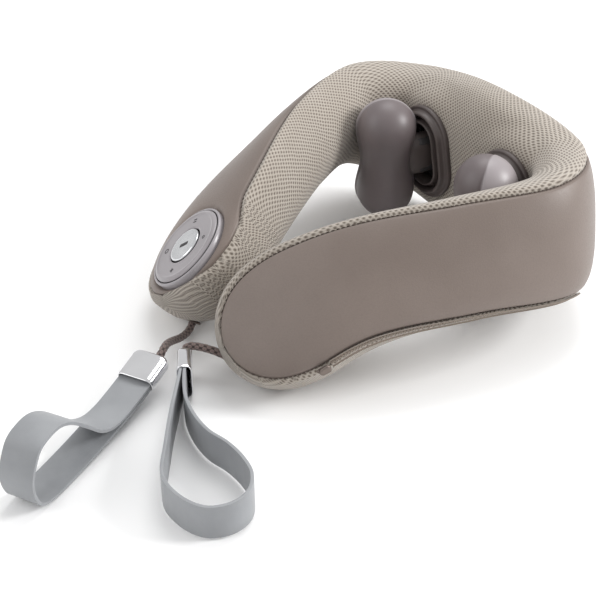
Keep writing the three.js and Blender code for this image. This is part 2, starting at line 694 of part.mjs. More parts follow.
// ---- Control disc ------------------------------------------------------------------
const podSection = sectionAt(POD_STATION);
const podPlace = placeOn(POD_STATION, POD_RISE, podSection.outer);
const onPod = (geometry) => placed(geometry, podPlace);
const podRoom = onPod(disc(BEZEL_RADIUS + 0.5, -17, 14, 28));

const housingHole = HOUSING_RADIUS - HOUSING_WALL;
const housingFloor = HOUSING_WALL - HOUSING_DEPTH;
const bezelHole = HOUSING_RADIUS + FIT_GAP;
add('control_housing', onPod(turned([[0, -HOUSING_DEPTH], [HOUSING_RADIUS, -HOUSING_DEPTH],
  [HOUSING_RADIUS, 0.4], [housingHole, 0.4], [housingHole, housingFloor], [0, housingFloor]], 24)), CASE);
add('control_bezel', onPod(turned([[bezelHole, -5], [BEZEL_RADIUS, -5], [BEZEL_RADIUS, 1.8],
  [BEZEL_RADIUS - 0.7, 2.8], [bezelHole, 2.4], [bezelHole, -5]], 28)), RIM);
add('control_pcb', onPod(disc(28, -11, -11 + BOARD_THICKNESS, 24)), BOARD);
add('ring_spider', onPod(washer(17, 22, -1.2, 0.3, 20)), CASE);
add('function_ring', onPod(turned([[RING_HOLE, 1.5], [RING_RADIUS, 1.5], [RING_RADIUS, 2.6],
  [RING_RADIUS - 0.8, 3.3], [22, 4.3], [15.6, 4], [RING_HOLE, 3.4], [RING_HOLE, 1.5]], 28)), DISC);
add('power_button', onPod(turned([[0, -3], [BUTTON_RADIUS - 1.5, -3], [BUTTON_RADIUS - 1.5, 0.8],
  [BUTTON_RADIUS, 0.8], [BUTTON_RADIUS, 4], [BUTTON_RADIUS - 0.8, 4.7], [0, 5.3]], 24)), CHROME);

// ---- Eyelets and cord routes -------------------------------------------------------
// Each route starts in its eyelet and ends in the bore of its clasp.
const cordRoutes = {
  left: [[-32.6, -129.2, 8], [-31.8, -131.2, 5.4], [-30.2, -134.2, 3.8], [-26.8, -139.8, 4],
    [-21.8, -147, 7], [-15.4, -156, 12.4], [-8.6, -164, 17.4], [-2.6, -170, 19.8], [0.9, -174.2, 19.4],
    [4, -180.3, 17.5]],
  right: [[32.6, -129.2, 8], [30.4, -132.2, 10.2], [25.6, -137.8, 14.8], [19.8, -143.8, 18.8],
    [13.2, -149.6, 20.6], [7.2, -153.8, 20.2], [4.2, -156.6, 18.4], [6.1, -158.9, 16.9],
    [12.8, -163.2, 16.8]],
};

// The place of an eyelet: z leaves the collar along the first stretch of its cord.
function eyeletPlace(name) {
  const [from, to] = cordRoutes[name].slice(0, 2).map((point) => v(...point));
  const axis = to.clone().sub(from).normalize();
  const across = axis.clone().cross(v(0, 0, 1)).normalize();
  return frameMatrix(across, axis.clone().cross(across), axis, from);
}

const eyeletRoom = (name) => placed(disc(EYELET_RADIUS + 0.5, -6, 14, 16), eyeletPlace(name));

// ---- Wings -------------------------------------------------------------------------
const batteryPlace = placeOn(BATTERY_STATION, 0, BATTERY_DEPTH);
const battery = (grow, depth) => placed(
  block([-BATTERY_HALF_LENGTH - grow, -BATTERY_HALF_WIDTH - grow, -depth],
    [BATTERY_HALF_LENGTH + grow, BATTERY_HALF_WIDTH + grow, BATTERY_THICKNESS / 2 + grow]), batteryPlace);

for (const side of [-1, 1]) {
  const name = sideName(side);
  const stations = sideStations(side);
  const strip = stations.filter((s) => Math.abs(s) < 3.9);
  const slotStrip = [side * (FLEX_STATION - 0.05), ...strip, side * 3.9];
  const coreSlot = coreStrip(slotStrip, 25.5, 1.6);
  const core = coreStrip(strip, 25, 1);
  const pocket = side < 0 ? podRoom : battery(0.5, 60);
  const panel = leather(stations);
  add(`leather_cover_${name}`, side < 0 ? cut(panel, podRoom) : panel, LEATHER);
  const coverCuts = side < 0 ? [podRoom, eyeletRoom('left')] : [eyeletRoom('right')];
  add(`mesh_cover_${name}`, cut(knit(stations), ...coverCuts), KNIT);
  add(`foam_${name}`, cut(foam(stations.slice(0, -1)), coreSlot, pocket, eyeletRoom(name)), FOAM);
  add(`${name}_core`, core, CASE);
}
add('battery_pack', battery(0, BATTERY_THICKNESS / 2), CASE);

// The zip along the lower edge of the right wing, its slider parked near the tip.
const zipSections = spread(ZIP_FROM, ZIP_TO, 12).map(sectionAt);
const zipAngles = spread(ZIP_ANGLE - ZIP_HALF_ANGLE, ZIP_ANGLE + ZIP_HALF_ANGLE, 2);
const zipGrid = (inset) => zipSections.map(
  (section) => zipAngles.map((angle) => surfacePoint(section, angle, inset)));
add('zipper_tape', thickSheet(zipGrid(-TAPE_RAISE[1]), zipGrid(-TAPE_RAISE[0])), CORD);

const sliderSection = sectionAt(SLIDER_STATION);
const sliderMiddle = surfacePoint(sliderSection, ZIP_ANGLE, -SLIDER_RAISE);
const sliderOut = sliderMiddle.clone().sub(surfacePoint(sliderSection, ZIP_ANGLE, 0)).normalize();
const sliderAlong = sliderSection.along.clone();
const sliderAcross = sliderOut.clone().cross(sliderAlong).normalize();
const sliderFace = sliderAlong.clone().cross(sliderAcross);
const sliderPlace = frameMatrix(sliderAlong, sliderAcross, sliderFace, sliderMiddle);
const sliderBody = join(block([-4.5, -3.2, -1.5], [4.5, 3.2, 1.5]), block([-2, -1, 1], [2, 1, 2.6]),
  block([-1, -2, 2.2], [13, 2, 3.4]));
add('zipper_slider', placed(sliderBody, sliderPlace), CHROME);

// ---- Cords, clasps and hand loops --------------------------------------------------
// A ribbon of the strap's thickness along plan points, extruded by the strap's width.
function ribbon(points, width) {
  const path = new THREE.CatmullRomCurve3(points.map(([x, y]) => v(x, y, 0)), false, 'centripetal');
  const steps = points.length * RIBBON_STEPS;
  const near = [];
  const far = [];
  for (let k = 0; k <= steps; k++) {
    const point = path.getPoint(k / steps);
    const along = path.getTangent(k / steps);
    near.push([point.x - along.y * STRAP_THICKNESS / 2, point.y + along.x * STRAP_THICKNESS / 2]);
    far.push([point.x + along.y * STRAP_THICKNESS / 2, point.y - along.x * STRAP_THICKNESS / 2]);
  }
  const outline = [...near, ...far.reverse()].map(([x, y]) => new Vector2(x, y));
  return new THREE.ExtrudeGeometry(new THREE.Shape(outline), { depth: width, bevelEnabled: false });
}

// The left loop lies along the floor and stands up at its far end. Its outline is drawn
// as run and height, and the strap's width is level.
const leftRun = v(0.447, -0.894, 0).normalize();
const leftBase = v(49.3, -278.8, 0);
const leftProfile = [[-97.4, 15.6], [-87.7, 13.3], [-72, 10.2], [-59, 8.4], [-46, 9.2], [-34, 15], [-21, 28],
  [-6, 42], [4.5, 47], [15, 47], [24, 44], [30, 36], [34, 26.5], [34, 17], [29, 6], [17, 1.9], [0, 1.6],
  [-25, 2.6], [-52, 5], [-72, 7.4], [-88.3, 10.7], [-98, 13.1]];
const leftLoop = ribbon(leftProfile, STRAP_WIDTH).translate(0, 0, -STRAP_WIDTH / 2);
const leftLoopPlace = frameMatrix(leftRun, v(0, 0, 1), leftRun.clone().cross(v(0, 0, 1)), leftBase);

// The right loop stands on its edge.
const rightPlan = [[22.3, -168.9], [30.7, -174.3], [44, -182.9], [58, -189.9], [77, -195], [94, -196],
  [110, -193], [127, -193], [143, -197], [154, -207], [157, -219.5], [152, -233], [140, -240], [122, -242],
  [110, -239], [89, -224], [62, -203.4], [44, -188.4], [29.3, -176.5], [20.9, -171.1]];
const rightLoop = ribbon(rightPlan, STRAP_WIDTH).translate(0, 0, CLASP_WIDTH / 2 - STRAP_WIDTH / 2);

// A clasp is a sleeve: x runs from its mouth, at zero, to its rounded end, y across the
// strap and z through the thickness. The cord's bore is beside the middle of that end.
function claspPlan() {
  const half = CLASP_WIDTH / 2;
  const bend = CLASP_LENGTH - CLASP_CORNER;
  const shape = new THREE.Shape();
  shape.moveTo(0, -half);
  shape.lineTo(bend, -half);
  shape.absarc(bend, -half + CLASP_CORNER, CLASP_CORNER, -Math.PI / 2, 0, false);
  shape.absarc(bend, half - CLASP_CORNER, CLASP_CORNER, 0, Math.PI / 2, false);
  shape.lineTo(0, half);
  return shape;
}

function clasp() {
  const solid = { depth: CLASP_THICKNESS, bevelEnabled: false, curveSegments: 5 };
  const body = new THREE.ExtrudeGeometry(claspPlan(), solid).translate(0, 0, -CLASP_THICKNESS / 2);
  const wide = CLASP_WIDTH / 2 - CLASP_WALL;
  const deep = CLASP_THICKNESS / 2 - CLASP_WALL;
  const socket = block([-1, -wide, -deep], [CLASP_SOCKET, wide, deep]);
  const bore = disc(CORD_DIAMETER / 2 + 0.5, CLASP_LENGTH - 5, CLASP_LENGTH + 1, 14)
    .rotateY(Math.PI / 2).translate(0, CLASP_BORE_RISE, 0);
  return cut(body, socket, bore);
}

function claspPlace(mouth, axis, across) {
  const along = axis.clone().normalize();
  const side = across.clone().addScaledVector(along, -across.dot(along)).normalize();
  return frameMatrix(along, side, along.clone().cross(side), mouth);
}

const claspPlaces = {
  left: claspPlace(v(10, -200.1, 12.6), v(-0.435, 0.87, 0.2335), v(0.894, 0.447, 0)),
  right: claspPlace(v(30.5, -174.6, CLASP_WIDTH / 2), v(-0.84, 0.543, 0), v(0, 0, 1)),
};

for (const name of ['left', 'right']) {
  const route = cordRoutes[name].map((point) => v(...point));
  const hole = CORD_DIAMETER / 2 + 0.4;
  const grommet = turned([[hole, -1.2], [EYELET_RADIUS - 0.6, -1.2], [EYELET_RADIUS, 0], [hole + 1.6, 1.2],
    [hole, 1.2], [hole, -1.2]], 16);
  add(`${name}_eyelet`, placed(grommet, eyeletPlace(name)), CHROME);
  add(`${name}_cord`, tube(route, CORD_DIAMETER, CORD_SIDES, CORD_STEPS), CORD);
  add(`${name}_clasp`, placed(clasp(), claspPlaces[name]), CHROME);
}
add('left_strap', placed(leftLoop, leftLoopPlace), STRAP);
add('right_strap', rightLoop, STRAP);

export default group;
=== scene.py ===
"""Shiatsu neck massager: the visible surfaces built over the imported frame, in metres."""

import json
import math

import bpy
import numpy as np
from mathutils import Matrix, Vector


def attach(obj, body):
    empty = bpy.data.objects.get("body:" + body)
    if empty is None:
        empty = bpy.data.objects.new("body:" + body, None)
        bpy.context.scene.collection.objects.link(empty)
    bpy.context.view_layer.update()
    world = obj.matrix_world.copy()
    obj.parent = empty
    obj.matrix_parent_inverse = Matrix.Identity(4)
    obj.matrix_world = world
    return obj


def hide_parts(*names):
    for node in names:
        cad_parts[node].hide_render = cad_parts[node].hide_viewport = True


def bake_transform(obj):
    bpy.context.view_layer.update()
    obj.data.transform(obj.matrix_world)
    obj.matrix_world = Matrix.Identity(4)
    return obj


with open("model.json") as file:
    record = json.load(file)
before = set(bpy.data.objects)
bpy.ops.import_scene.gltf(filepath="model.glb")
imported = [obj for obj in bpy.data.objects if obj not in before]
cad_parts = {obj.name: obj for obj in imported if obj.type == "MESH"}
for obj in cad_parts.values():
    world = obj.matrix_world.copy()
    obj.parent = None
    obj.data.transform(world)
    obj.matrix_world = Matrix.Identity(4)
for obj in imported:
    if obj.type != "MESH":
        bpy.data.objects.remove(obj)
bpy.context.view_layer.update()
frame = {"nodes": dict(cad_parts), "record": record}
MM = 0.001
UP = np.array([0.0, 0.0, 1.0])

# ---- The collar's shape: half-collar stations from the middle of the back (0) to the tip (LAST) ----
# Stations are negative on the left half. Lengths are in millimetres, tilts in degrees.
STATIONS = {
    "x": [0, 80, 120, 103, 68, 34],
    "y": [128, 120, 74, 1, -75, -148],
    "z": [65, 70, 80, 81, 68, 27],
    "tilt": [5, -1, 18, 36, 54, 58],
    "height": [131.4, 103, 89, 82, 88, 109],
    "outer": [20, 18, 16, 17, 14, 9],
    "inner": [33, 34, 33, 42, 45, 41],
}
LAST = 5.0
TIP_LENGTH = 71.0
# The sections are superellipses of this power. The seams lie at these shares of the half height.
POWER = 2.6
TOP_SEAM = 0.856
BOTTOM_SEAM = -0.955
TIP_RIM = 5.5
# The leather wraps further over the top round the disc, between these distances from the tip.
DISC_WRAP = 0.6
WRAP_FULL, WRAP_FADE, WRAP_END = 30.0, 45.0, 85.0

# ---- The camera: what it looks at, its axes and its lens ----
CAMERA_TARGET = np.array([0.0, 16.0, 3.0])
CAMERA_BACK = np.array([0.6453, -0.5328, 0.5475])
CAMERA_RIGHT = np.array([0.6248, 0.7805, 0.0231])
CAMERA_DISTANCE = 1016.5
SENSOR_WIDTH, LENS_LENGTH = 36.0, 81.018
SHIFT_X, SHIFT_Y = -0.1354, -0.03281667

# ---- Places shared with the frame (millimetres) ----
BOOT_X, BOOT_Y, BOOT_Z = 43.0, 95.0, 70.0
BOOT_STRETCH = 11.0
BOOT_LEAN = math.radians(11.5)
BOOT_OPENING, BOOT_BED, BOOT_EASE = 19.5, 25.0, 42.0
BOOT_FRONT_Y, BOOT_REAR_Y = 80.0, 110.0
BOOT_REACH, BOOT_SINK = 30.0, 0.2
HEAD_CENTRE = (55.5, 63.0, 68.0)
LOBE_RADIUS, LOBE_OFFSET, WAIST_RADIUS = 23.8, 25.0, 20.0
CAP_DIRECTION = np.array([0.85, 0.53, 0.0])
POD_STATION, POD_RISE = -4.54, 6.5
BEZEL_RADIUS, RING_RADIUS, RING_HOLE, BUTTON_RADIUS = 33.0, 30.4, 14.6, 13.6
DISC_FACE, BUTTON_FACE = 3.12, 3.95
DISC_BED_EDGE, DISC_BED_FLATNESS = 46.0, 0.65
GROOVE_RADIUS, GROOVE_WIDTH, GROOVE_DEPTH = 32.8, 1.4, 2.6
ZIP_ANGLE = math.radians(166)
ZIP_FROM, ZIP_TO, SLIDER_STATION = 1.9, 4.3, 4.36
TAPE_LIFT, SLIDER_LIFT, TOOTH_PITCH, STITCH_PITCH = 0.55, 3.7, 1.25, 3.0
CORD_DIAMETER, BRAID_DEPTH = 5.6, 0.42
CLASP_LENGTH, CLASP_WIDTH, CLASP_THICKNESS, CLASP_WALL = 24.0, 26.4, 10.4, 0.9
CLASP_SOCKET, CLASP_CORNER = 14.0, 5.0
SIDES = {"left": -1, "right": 1}


# ---- Curves -----------------------------------------------------------------------------
def catmull(values, t):
    """Uniform Catmull-Rom through values, with t from 0 to 1."""
    a = np.asarray(values, float)
    last = len(a) - 1
    p = np.clip(t, 0, 1) * last
    i = np.minimum(np.floor(p).astype(int), last - 1)
    w = (p - i).reshape(np.shape(p) + (1,) * (a.ndim - 1))
    ext = np.concatenate([[2 * a[0] - a[1]], a, [2 * a[-1] - a[-2]]])
    x0, x1, x2, x3 = ext[i], ext[i + 1], ext[i + 2], ext[i + 3]
    t0, t1 = 0.5 * (x2 - x0), 0.5 * (x3 - x1)
    return x1 + t0 * w + (3 * (x2 - x1) - 2 * t0 - t1) * w * w + (2 * (x1 - x2) + t0 + t1) * w ** 3


def station_value(name, s):
    half = np.asarray(STATIONS[name], float)
    sign = -1.0 if name == "x" else 1.0
    return catmull(np.concatenate([sign * half[:0:-1], half]), (np.asarray(s, float) + LAST) / (2 * LAST))


def spine(s):
    return np.stack([station_value(k, s) for k in "xyz"], -1)


def unit(v):
    return v / np.linalg.norm(v, axis=-1, keepdims=True)


def smooth_path(points, count):
    """Points spread evenly along a smooth curve through the given ones, ends kept."""
    dense = catmull(np.asarray(points, float), np.linspace(0, 1, 1200))
    run = np.r_[0, np.cumsum(np.linalg.norm(np.diff(dense, axis=0), axis=1))]
    at = np.linspace(0, run[-1], count)
    return np.stack([np.interp(at, run, dense[:, k]) for k in range(dense.shape[1])], -1)


# The distance along the spine from the tip, and back from a distance to a station.
TABLE_S = np.linspace(0, LAST, 4001)
TABLE_RUN = np.r_[0, np.cumsum(np.linalg.norm(np.diff(spine(TABLE_S), axis=0), axis=1))]


def distance_to_tip(s):
    return TABLE_RUN[-1] - np.interp(np.abs(s), TABLE_S, TABLE_RUN)


def station_at_distance(distance):
    return np.interp(TABLE_RUN[-1] - distance, TABLE_RUN, TABLE_S)


# ---- The collar's surface ---------------------------------------------------------------
def section(s):
    """The cross-sections at stations s: middle, along, up, out, half height, outer and inner depth."""
    s = np.asarray(s, float)
    step = 0.02
    along = unit(spine(np.minimum(s + step, LAST)) - spine(np.maximum(s - step, -LAST)))
    rise = unit(UP - along[..., 2:3] * along)
    flat_out = np.cross(rise, along)
    tilt = np.radians(station_value("tilt", s))[..., None]
    up = rise * np.cos(tilt) - flat_out * np.sin(tilt)
    out = flat_out * np.cos(tilt) + rise * np.sin(tilt)
    q = np.clip(1 - distance_to_tip(s) / TIP_LENGTH, 0, 1)
    narrow = np.sqrt(np.clip(1 - q ** 6, 0, 1))
    half = station_value("height", s) / 2 * np.sqrt(np.clip(1 - q ** 2.2, 0, 1))
    outer = station_value("outer", s) * narrow
    inner = station_value("inner", s) * narrow
    return spine(s), along, up, out, half, outer, inner


def surface(s, angle, lift=0.0):
    """Points of the surface. Angle runs over the top (0), outer face (90), bottom (180), inner face (270)."""
    middle, _, up, out, half, outer, inner = section(s)
    while half.ndim < np.ndim(angle):
        middle, up, out = middle[..., None, :], up[..., None, :], out[..., None, :]
        half, outer, inner = half[..., None], outer[..., None], inner[..., None]
    c, d = np.cos(angle), np.sin(angle)
    a = np.sign(c) * np.abs(c) ** (2 / POWER) * half
    b = np.sign(d) * np.abs(d) ** (2 / POWER) * np.where(d > 0, outer, inner)
    point = middle + a[..., None] * up + b[..., None] * out
    if np.any(lift):
        # the outward normal of the section's outline, from its implicit form
        na = np.sign(a) * np.abs(a / np.maximum(half, 1e-3)) ** (POWER - 1) / np.maximum(half, 1e-3)
        depth = np.maximum(np.where(d > 0, outer, inner), 1e-3)
        nb = np.sign(b) * np.abs(b / depth) ** (POWER - 1) / depth
        normal = unit(na[..., None] * up + nb[..., None] * out + 1e-12)
        point = point + np.asarray(lift)[..., None] * normal
    return point


def seam_angles(s):
    """The angles of the leather's top and bottom seams. Near the tip both close in on the outer face."""
    away = distance_to_tip(s)
    q = np.clip(1 - away / TIP_LENGTH, 0, 1)
    q_rim = np.clip(1 - (away - TIP_RIM) / (TIP_LENGTH - TIP_RIM), 0, 1)
    shrink = np.sqrt(np.clip(1 - q_rim ** 2.2, 0, 1)) / np.sqrt(np.maximum(1 - q ** 2.2, 1e-6))
    top = np.arccos(np.clip(TOP_SEAM * shrink, 0, 1) ** (POWER / 2))
    wrap = smoothstep(away, TIP_RIM, WRAP_FULL) * (1 - smoothstep(away, WRAP_FADE, WRAP_END))
    top = top - DISC_WRAP * wrap * (np.asarray(s) < 0)
    bottom = np.arccos(-np.clip(-BOTTOM_SEAM * shrink, 0, 1) ** (POWER / 2))
    return top, bottom


def half_collar_stations(rim):
    """Stations from the middle of the back to a distance rim from the tip, close together at the tip."""
    body = np.linspace(0, station_at_distance(TIP_LENGTH), 150)[:-1]
    turn = np.sin(np.linspace(0, math.pi / 2, 44))
    tip = station_at_distance(rim + (TIP_LENGTH - rim) * (1 - turn))
    return np.concatenate([body, tip])


def run_across(points):
    return np.concatenate([np.zeros(points.shape[:1] + (1,)),
                           np.cumsum(np.linalg.norm(np.diff(points, axis=1), axis=2), axis=1)], axis=1)


def seam_lift(run, tuck=1.7, roll=0.0):
    """The surface dips into the seam at both edges of a panel, behind a soft roll."""
    edge = np.minimum(run, run[:, -1:] - run)
    return -tuck * np.exp(-(edge / 1.5) ** 2) + roll * np.exp(-((edge - 3.6) / 2.2) ** 2)


# ---- Meshes -----------------------------------------------------------------------------
def make_mesh(name, points, faces, material, cloth=None):
    """A smooth mesh from millimetre points. cloth holds each point's place on its flat cloth."""
    mesh = bpy.data.meshes.new(name)
    mesh.from_pydata((np.asarray(points, float) * MM).tolist(), [], [list(map(int, f)) for f in faces])
    mesh.validate()
    mesh.polygons.foreach_set("use_smooth", np.ones(len(mesh.polygons), bool))
    if cloth is not None:
        attribute = mesh.attributes.new("cloth", "FLOAT_VECTOR", "POINT")
        attribute.data.foreach_set("vector", np.asarray(cloth, np.float32).reshape(-1))
    obj = bpy.data.objects.new(name, mesh)
    bpy.context.scene.collection.objects.link(obj)
    obj.data.materials.append(material)
    return obj


def grid_faces(rows, columns, wrap=False, keep=None, start=0):
    faces = []
    for i in range(rows - 1):
        for j in range(columns if wrap else columns - 1):
            k = (j + 1) % columns
            if keep is None or keep[i, j]:
                a, b = start + i * columns, start + (i + 1) * columns
                faces.append((a + j, a + k, b + k, b + j))
    return faces


def grid_mesh(name, points, material, wrap=False, caps=False, keep=None, cloth=None, flip=False):
    """A mesh over a grid of points, wrapped into a tube and capped if asked."""
    rows, columns = points.shape[:2]
    faces = grid_faces(rows, columns, wrap, keep)
    if caps:
        faces.append(tuple(range(columns))[::-1])
        faces.append(tuple(range((rows - 1) * columns, rows * columns)))
    if flip:
        faces = [f[::-1] for f in faces]
    flat = None if cloth is None else cloth.reshape(-1, 3)
    return make_mesh(name, points.reshape(-1, 3), faces, material, flat)


def turned(name, profile, place, material, segments=96, stretch=0.0):
    """A body of revolution from (radius, height) pairs, pulled into an oval by stretch."""
    angle = (np.arange(segments) + 0.5) / segments * 2 * math.pi
    rows = []
    for radius, height in profile:
        x, y = radius * np.cos(angle), radius * np.sin(angle)
        y = y + np.sign(np.sin(angle)) * stretch * (1.0 if radius > 1e-6 else 0.0)
        rows.append(np.stack([x, y, np.full(segments, float(height))], -1))
    points = np.array(rows) @ place[:3, :3].T + place[:3, 3]
    return grid_mesh(name, points, material, wrap=True)


def rounded(profile, radius=0.5):
    """A profile with its inner corners rounded."""
    steps = 4
    p = [np.array(q, float) for q in profile]
    result = [p[0]]
    for before, corner, after in zip(p, p[1:], p[2:]):
        a, b = before - corner, after - corner
        reach = min(radius, np.linalg.norm(a) * 0.45, np.linalg.norm(b) * 0.45)
        start, end = corner + unit(a) * reach, corner + unit(b) * reach
        for k in range(steps + 1):
            t = k / steps
            result.append((1 - t) ** 2 * start + 2 * t * (1 - t) * corner + t * t * end)
    return result + [p[-1]]


def frame_matrix(x, y, z, origin):
    place = np.eye(4)
    place[:3, 0], place[:3, 1], place[:3, 2], place[:3, 3] = x, y, z, origin
    return place


def place_on(s, rise):
    """A place on the outer face: x along the collar, y up the section, z out of the cover."""
    middle, _, up, out, _, outer, _ = section(s)
    return frame_matrix(np.cross(up, out), up, out, middle + rise * up + outer * out)


def squarish(angle, power_x, power_y):
    """The outline of a rounded rectangle of half size 1, with sharper corners for smaller powers."""
    c, s = np.cos(angle), np.sin(angle)
    return np.sign(c) * np.abs(c) ** power_x, np.sign(s) * np.abs(s) ** power_y


def local_to(place, points):
    return (points - place[:3, 3]) @ place[:3, :3]


def smoothstep(x, low, high):
    t = np.clip((x - low) / (high - low), 0, 1)
    return t * t * (3 - 2 * t)


# ---- Materials --------------------------------------------------------------------------
def linear(r, g, b):
    """sRGB 0-255 to the linear colour that nodes take."""
    out = []
    for value in (r, g, b):
        c = value / 255
        out.append(c / 12.92 if c <= 0.04045 else ((c + 0.055) / 1.055) ** 2.4)
    return (*out, 1.0)


class Look:
    """A material under construction, with short calls for its nodes."""

    def __init__(self, name):
        self.material = bpy.data.materials.new(name)
        self.material.use_nodes = True
        self.tree = self.material.node_tree
        self.shader = self.tree.nodes["Principled BSDF"]

    def node(self, kind, inputs=None, **settings):
        node = self.tree.nodes.new(kind)
        for key, value in settings.items():
            setattr(node, key, value)
        for key, value in (inputs or {}).items():
            self.feed(node.inputs[key], value)
        return node

    def feed(self, socket, value):
        if isinstance(value, bpy.types.NodeSocket):
            self.tree.links.new(value, socket)
        else:
            socket.default_value = value

    def math(self, operation, *values):
        node = self.node("ShaderNodeMath", dict(enumerate(values)), operation=operation)
        return node.outputs[0]

    def ramp(self, value, low, high, to_low=0.0, to_high=1.0):
        inputs = {"Value": value, "From Min": low, "From Max": high, "To Min": to_low, "To Max": to_high}
        return self.node("ShaderNodeMapRange", inputs, interpolation_type="SMOOTHSTEP").outputs[0]

    def mix(self, factor, first, second):
        node = self.node("ShaderNodeMix", data_type="RGBA")
        for socket, value in ((node.inputs[0], factor), (node.inputs[6], first), (node.inputs[7], second)):
            self.feed(socket, value)
        return node.outputs[2]

    def noise(self, scale, detail=2.0, vector=None, roughness=0.5):
        inputs = {"Scale": scale, "Detail": detail, "Roughness": roughness,
                  "Vector": vector if vector is not None else self.object_place()}
        return self.node("ShaderNodeTexNoise", inputs).outputs["Fac"]

    def object_place(self):
        return self.node("ShaderNodeTexCoord").outputs["Object"]

    def cloth_place(self):
        """The place on the flat cloth that make_mesh stores with each point."""
        return self.node("ShaderNodeAttribute", attribute_name="cloth").outputs["Vector"]

    def bump(self, height, distance, strength=1.0):
        inputs = {"Height": height, "Distance": distance, "Strength": strength}
        node = self.node("ShaderNodeBump", inputs)
        self.feed(self.shader.inputs["Normal"], node.outputs[0])

    def set(self, **values):
        for key, value in values.items():
            self.feed(self.shader.inputs[key.replace("_", " ")], value)


def leather_look():
    look = Look("leather")
    broad = look.noise(14, 3)
    grain = look.node("ShaderNodeTexVoronoi", {"Vector": look.object_place(), "Scale": 1100.0},
                      feature="SMOOTH_F1").outputs["Distance"]
    fine = look.noise(2600, 3)
    colour = look.mix(look.ramp(broad, 0.3, 0.7), linear(115, 103, 96), linear(123, 111, 104))
    look.set(Base_Color=look.mix(look.ramp(grain, 0.0, 0.9, 0.0, 0.16), colour, linear(90, 80, 75)),
             Roughness=look.ramp(look.math("ADD", grain, broad), 0.2, 1.4, 0.4, 0.52))
    look.set(Specular_IOR_Level=0.42, Sheen_Weight=0.08, Sheen_Roughness=0.4)
    look.bump(look.math("ADD", grain, look.math("MULTIPLY", fine, 0.5)), 0.00012, 0.55)
    return look.material


def knit_look():
    """A spacer knit: rows of small oval holes, every other row shifted by half a hole; the holes are painted
    dark as shade.
    """
    look = Look("knit_mesh")
    place = look.cloth_place()
    split = look.node("ShaderNodeSeparateXYZ", {0: place})
    wander = look.noise(0.08, 1, place)
    u = look.math("ADD", split.outputs[0], look.math("MULTIPLY", wander, 1.2))
    v = look.math("ADD", split.outputs[1], look.math("MULTIPLY", wander, 0.8))
    pitch_u, pitch_v = 3.3, 3.6

    def lattice(shift):
        squares = []
        for value, pitch, stretch in ((u, pitch_u, 1.0), (v, pitch_v, 1.25)):
            cell = look.math("FRACT", look.math("ADD", look.math("DIVIDE", value, pitch), shift))
            away = look.math("MULTIPLY", look.math("SUBTRACT", cell, 0.5), pitch * stretch)
            squares.append(look.math("MULTIPLY", away, away))
        return look.math("SQRT", look.math("ADD", *squares))

    near = look.math("MINIMUM", lattice(0.0), lattice(0.5))
    ridge = look.ramp(near, 0.15, 1.45)
    yarn = look.noise(5.5, 3, place, 0.7)
    warm = look.noise(0.03, 2, place)
    body = look.mix(look.ramp(warm, 0.3, 0.7), linear(163, 153, 142), linear(170, 161, 151))
    # Painted highlight: yarn noise scatters a lighter colour (186, 178, 168) over the fibres, standing in for
    # their highlights.
    fibre = look.mix(look.ramp(yarn, 0.3, 0.75), body, linear(186, 178, 168))
    # Painted shade: the holes are painted dark (108, 98, 88), the shade inside them, and the ridges between
    # take the yarn colour.
    look.set(Base_Color=look.mix(ridge, linear(108, 98, 88), fibre), Roughness=0.92)
    look.set(Specular_IOR_Level=0.15, Sheen_Weight=0.3, Sheen_Roughness=0.55)
    look.bump(look.math("ADD", ridge, look.math("MULTIPLY", yarn, 0.25)), 0.0006, 0.85)
    return look.material


def soft_plastic(name, colour, roughness, grain=900.0, depth=0.00004, coat=0.0):
    """Moulded plastic or rubber: a fine texture, faint blotches and finger marks in the gloss."""
    look = Look(name)
    blotch = look.noise(28, 3)
    fine = look.noise(grain, 2)
    dark = tuple(c * 0.9 for c in colour[:3]) + (1.0,)
    look.set(Base_Color=look.mix(look.ramp(blotch, 0.3, 0.7), dark, colour),
             Roughness=look.ramp(blotch, 0.25, 0.75, roughness - 0.05, roughness + 0.05))
    look.set(Coat_Weight=coat, Coat_Roughness=0.25)
    look.bump(fine, depth, 0.5)
    return look.material


def metal(name, colour, roughness, stretch=(40.0, 900.0, 900.0)):
    """Bare metal with fine brushing along one direction."""
    look = Look(name)
    place = look.node("ShaderNodeMapping", {"Vector": look.object_place(), "Scale": stretch}).outputs[0]
    brush = look.noise(1.0, 3, place)
    smudge = look.noise(60, 2)
    dull = tuple(c * 0.94 for c in colour[:3]) + (1.0,)
    look.set(Base_Color=look.mix(look.ramp(smudge, 0.3, 0.7), dull, colour),
             Roughness=look.ramp(look.math("ADD", brush, smudge), 0.6, 1.4, roughness * 0.7, roughness * 1.3))
    look.set(Metallic=1.0)
    look.bump(brush, 0.00001, 0.3)
    return look.material


def fabric(name, colour, pitch=1.2):
    """A plain weave in the object's own space, for tape, thread and foam."""
    look = Look(name)
    split = look.node("ShaderNodeSeparateXYZ", {0: look.object_place()})
    waves = [look.math("SINE", look.math("MULTIPLY", split.outputs[k], 2 * math.pi / (pitch * MM)))
             for k in range(3)]
    weave = look.math("MULTIPLY", look.math("ADD", waves[0], waves[2]), waves[1])
    fuzz = look.noise(3000, 3)
    dark = tuple(c * 0.7 for c in colour[:3]) + (1.0,)
    shade = look.ramp(look.math("ADD", weave, fuzz), -1.0, 1.8)
    look.set(Base_Color=look.mix(shade, dark, colour), Roughness=0.95)
    look.set(Sheen_Weight=0.25, Specular_IOR_Level=0.2)
    look.bump(look.math("ADD", weave, fuzz), 0.0001, 0.6)
    return look.material


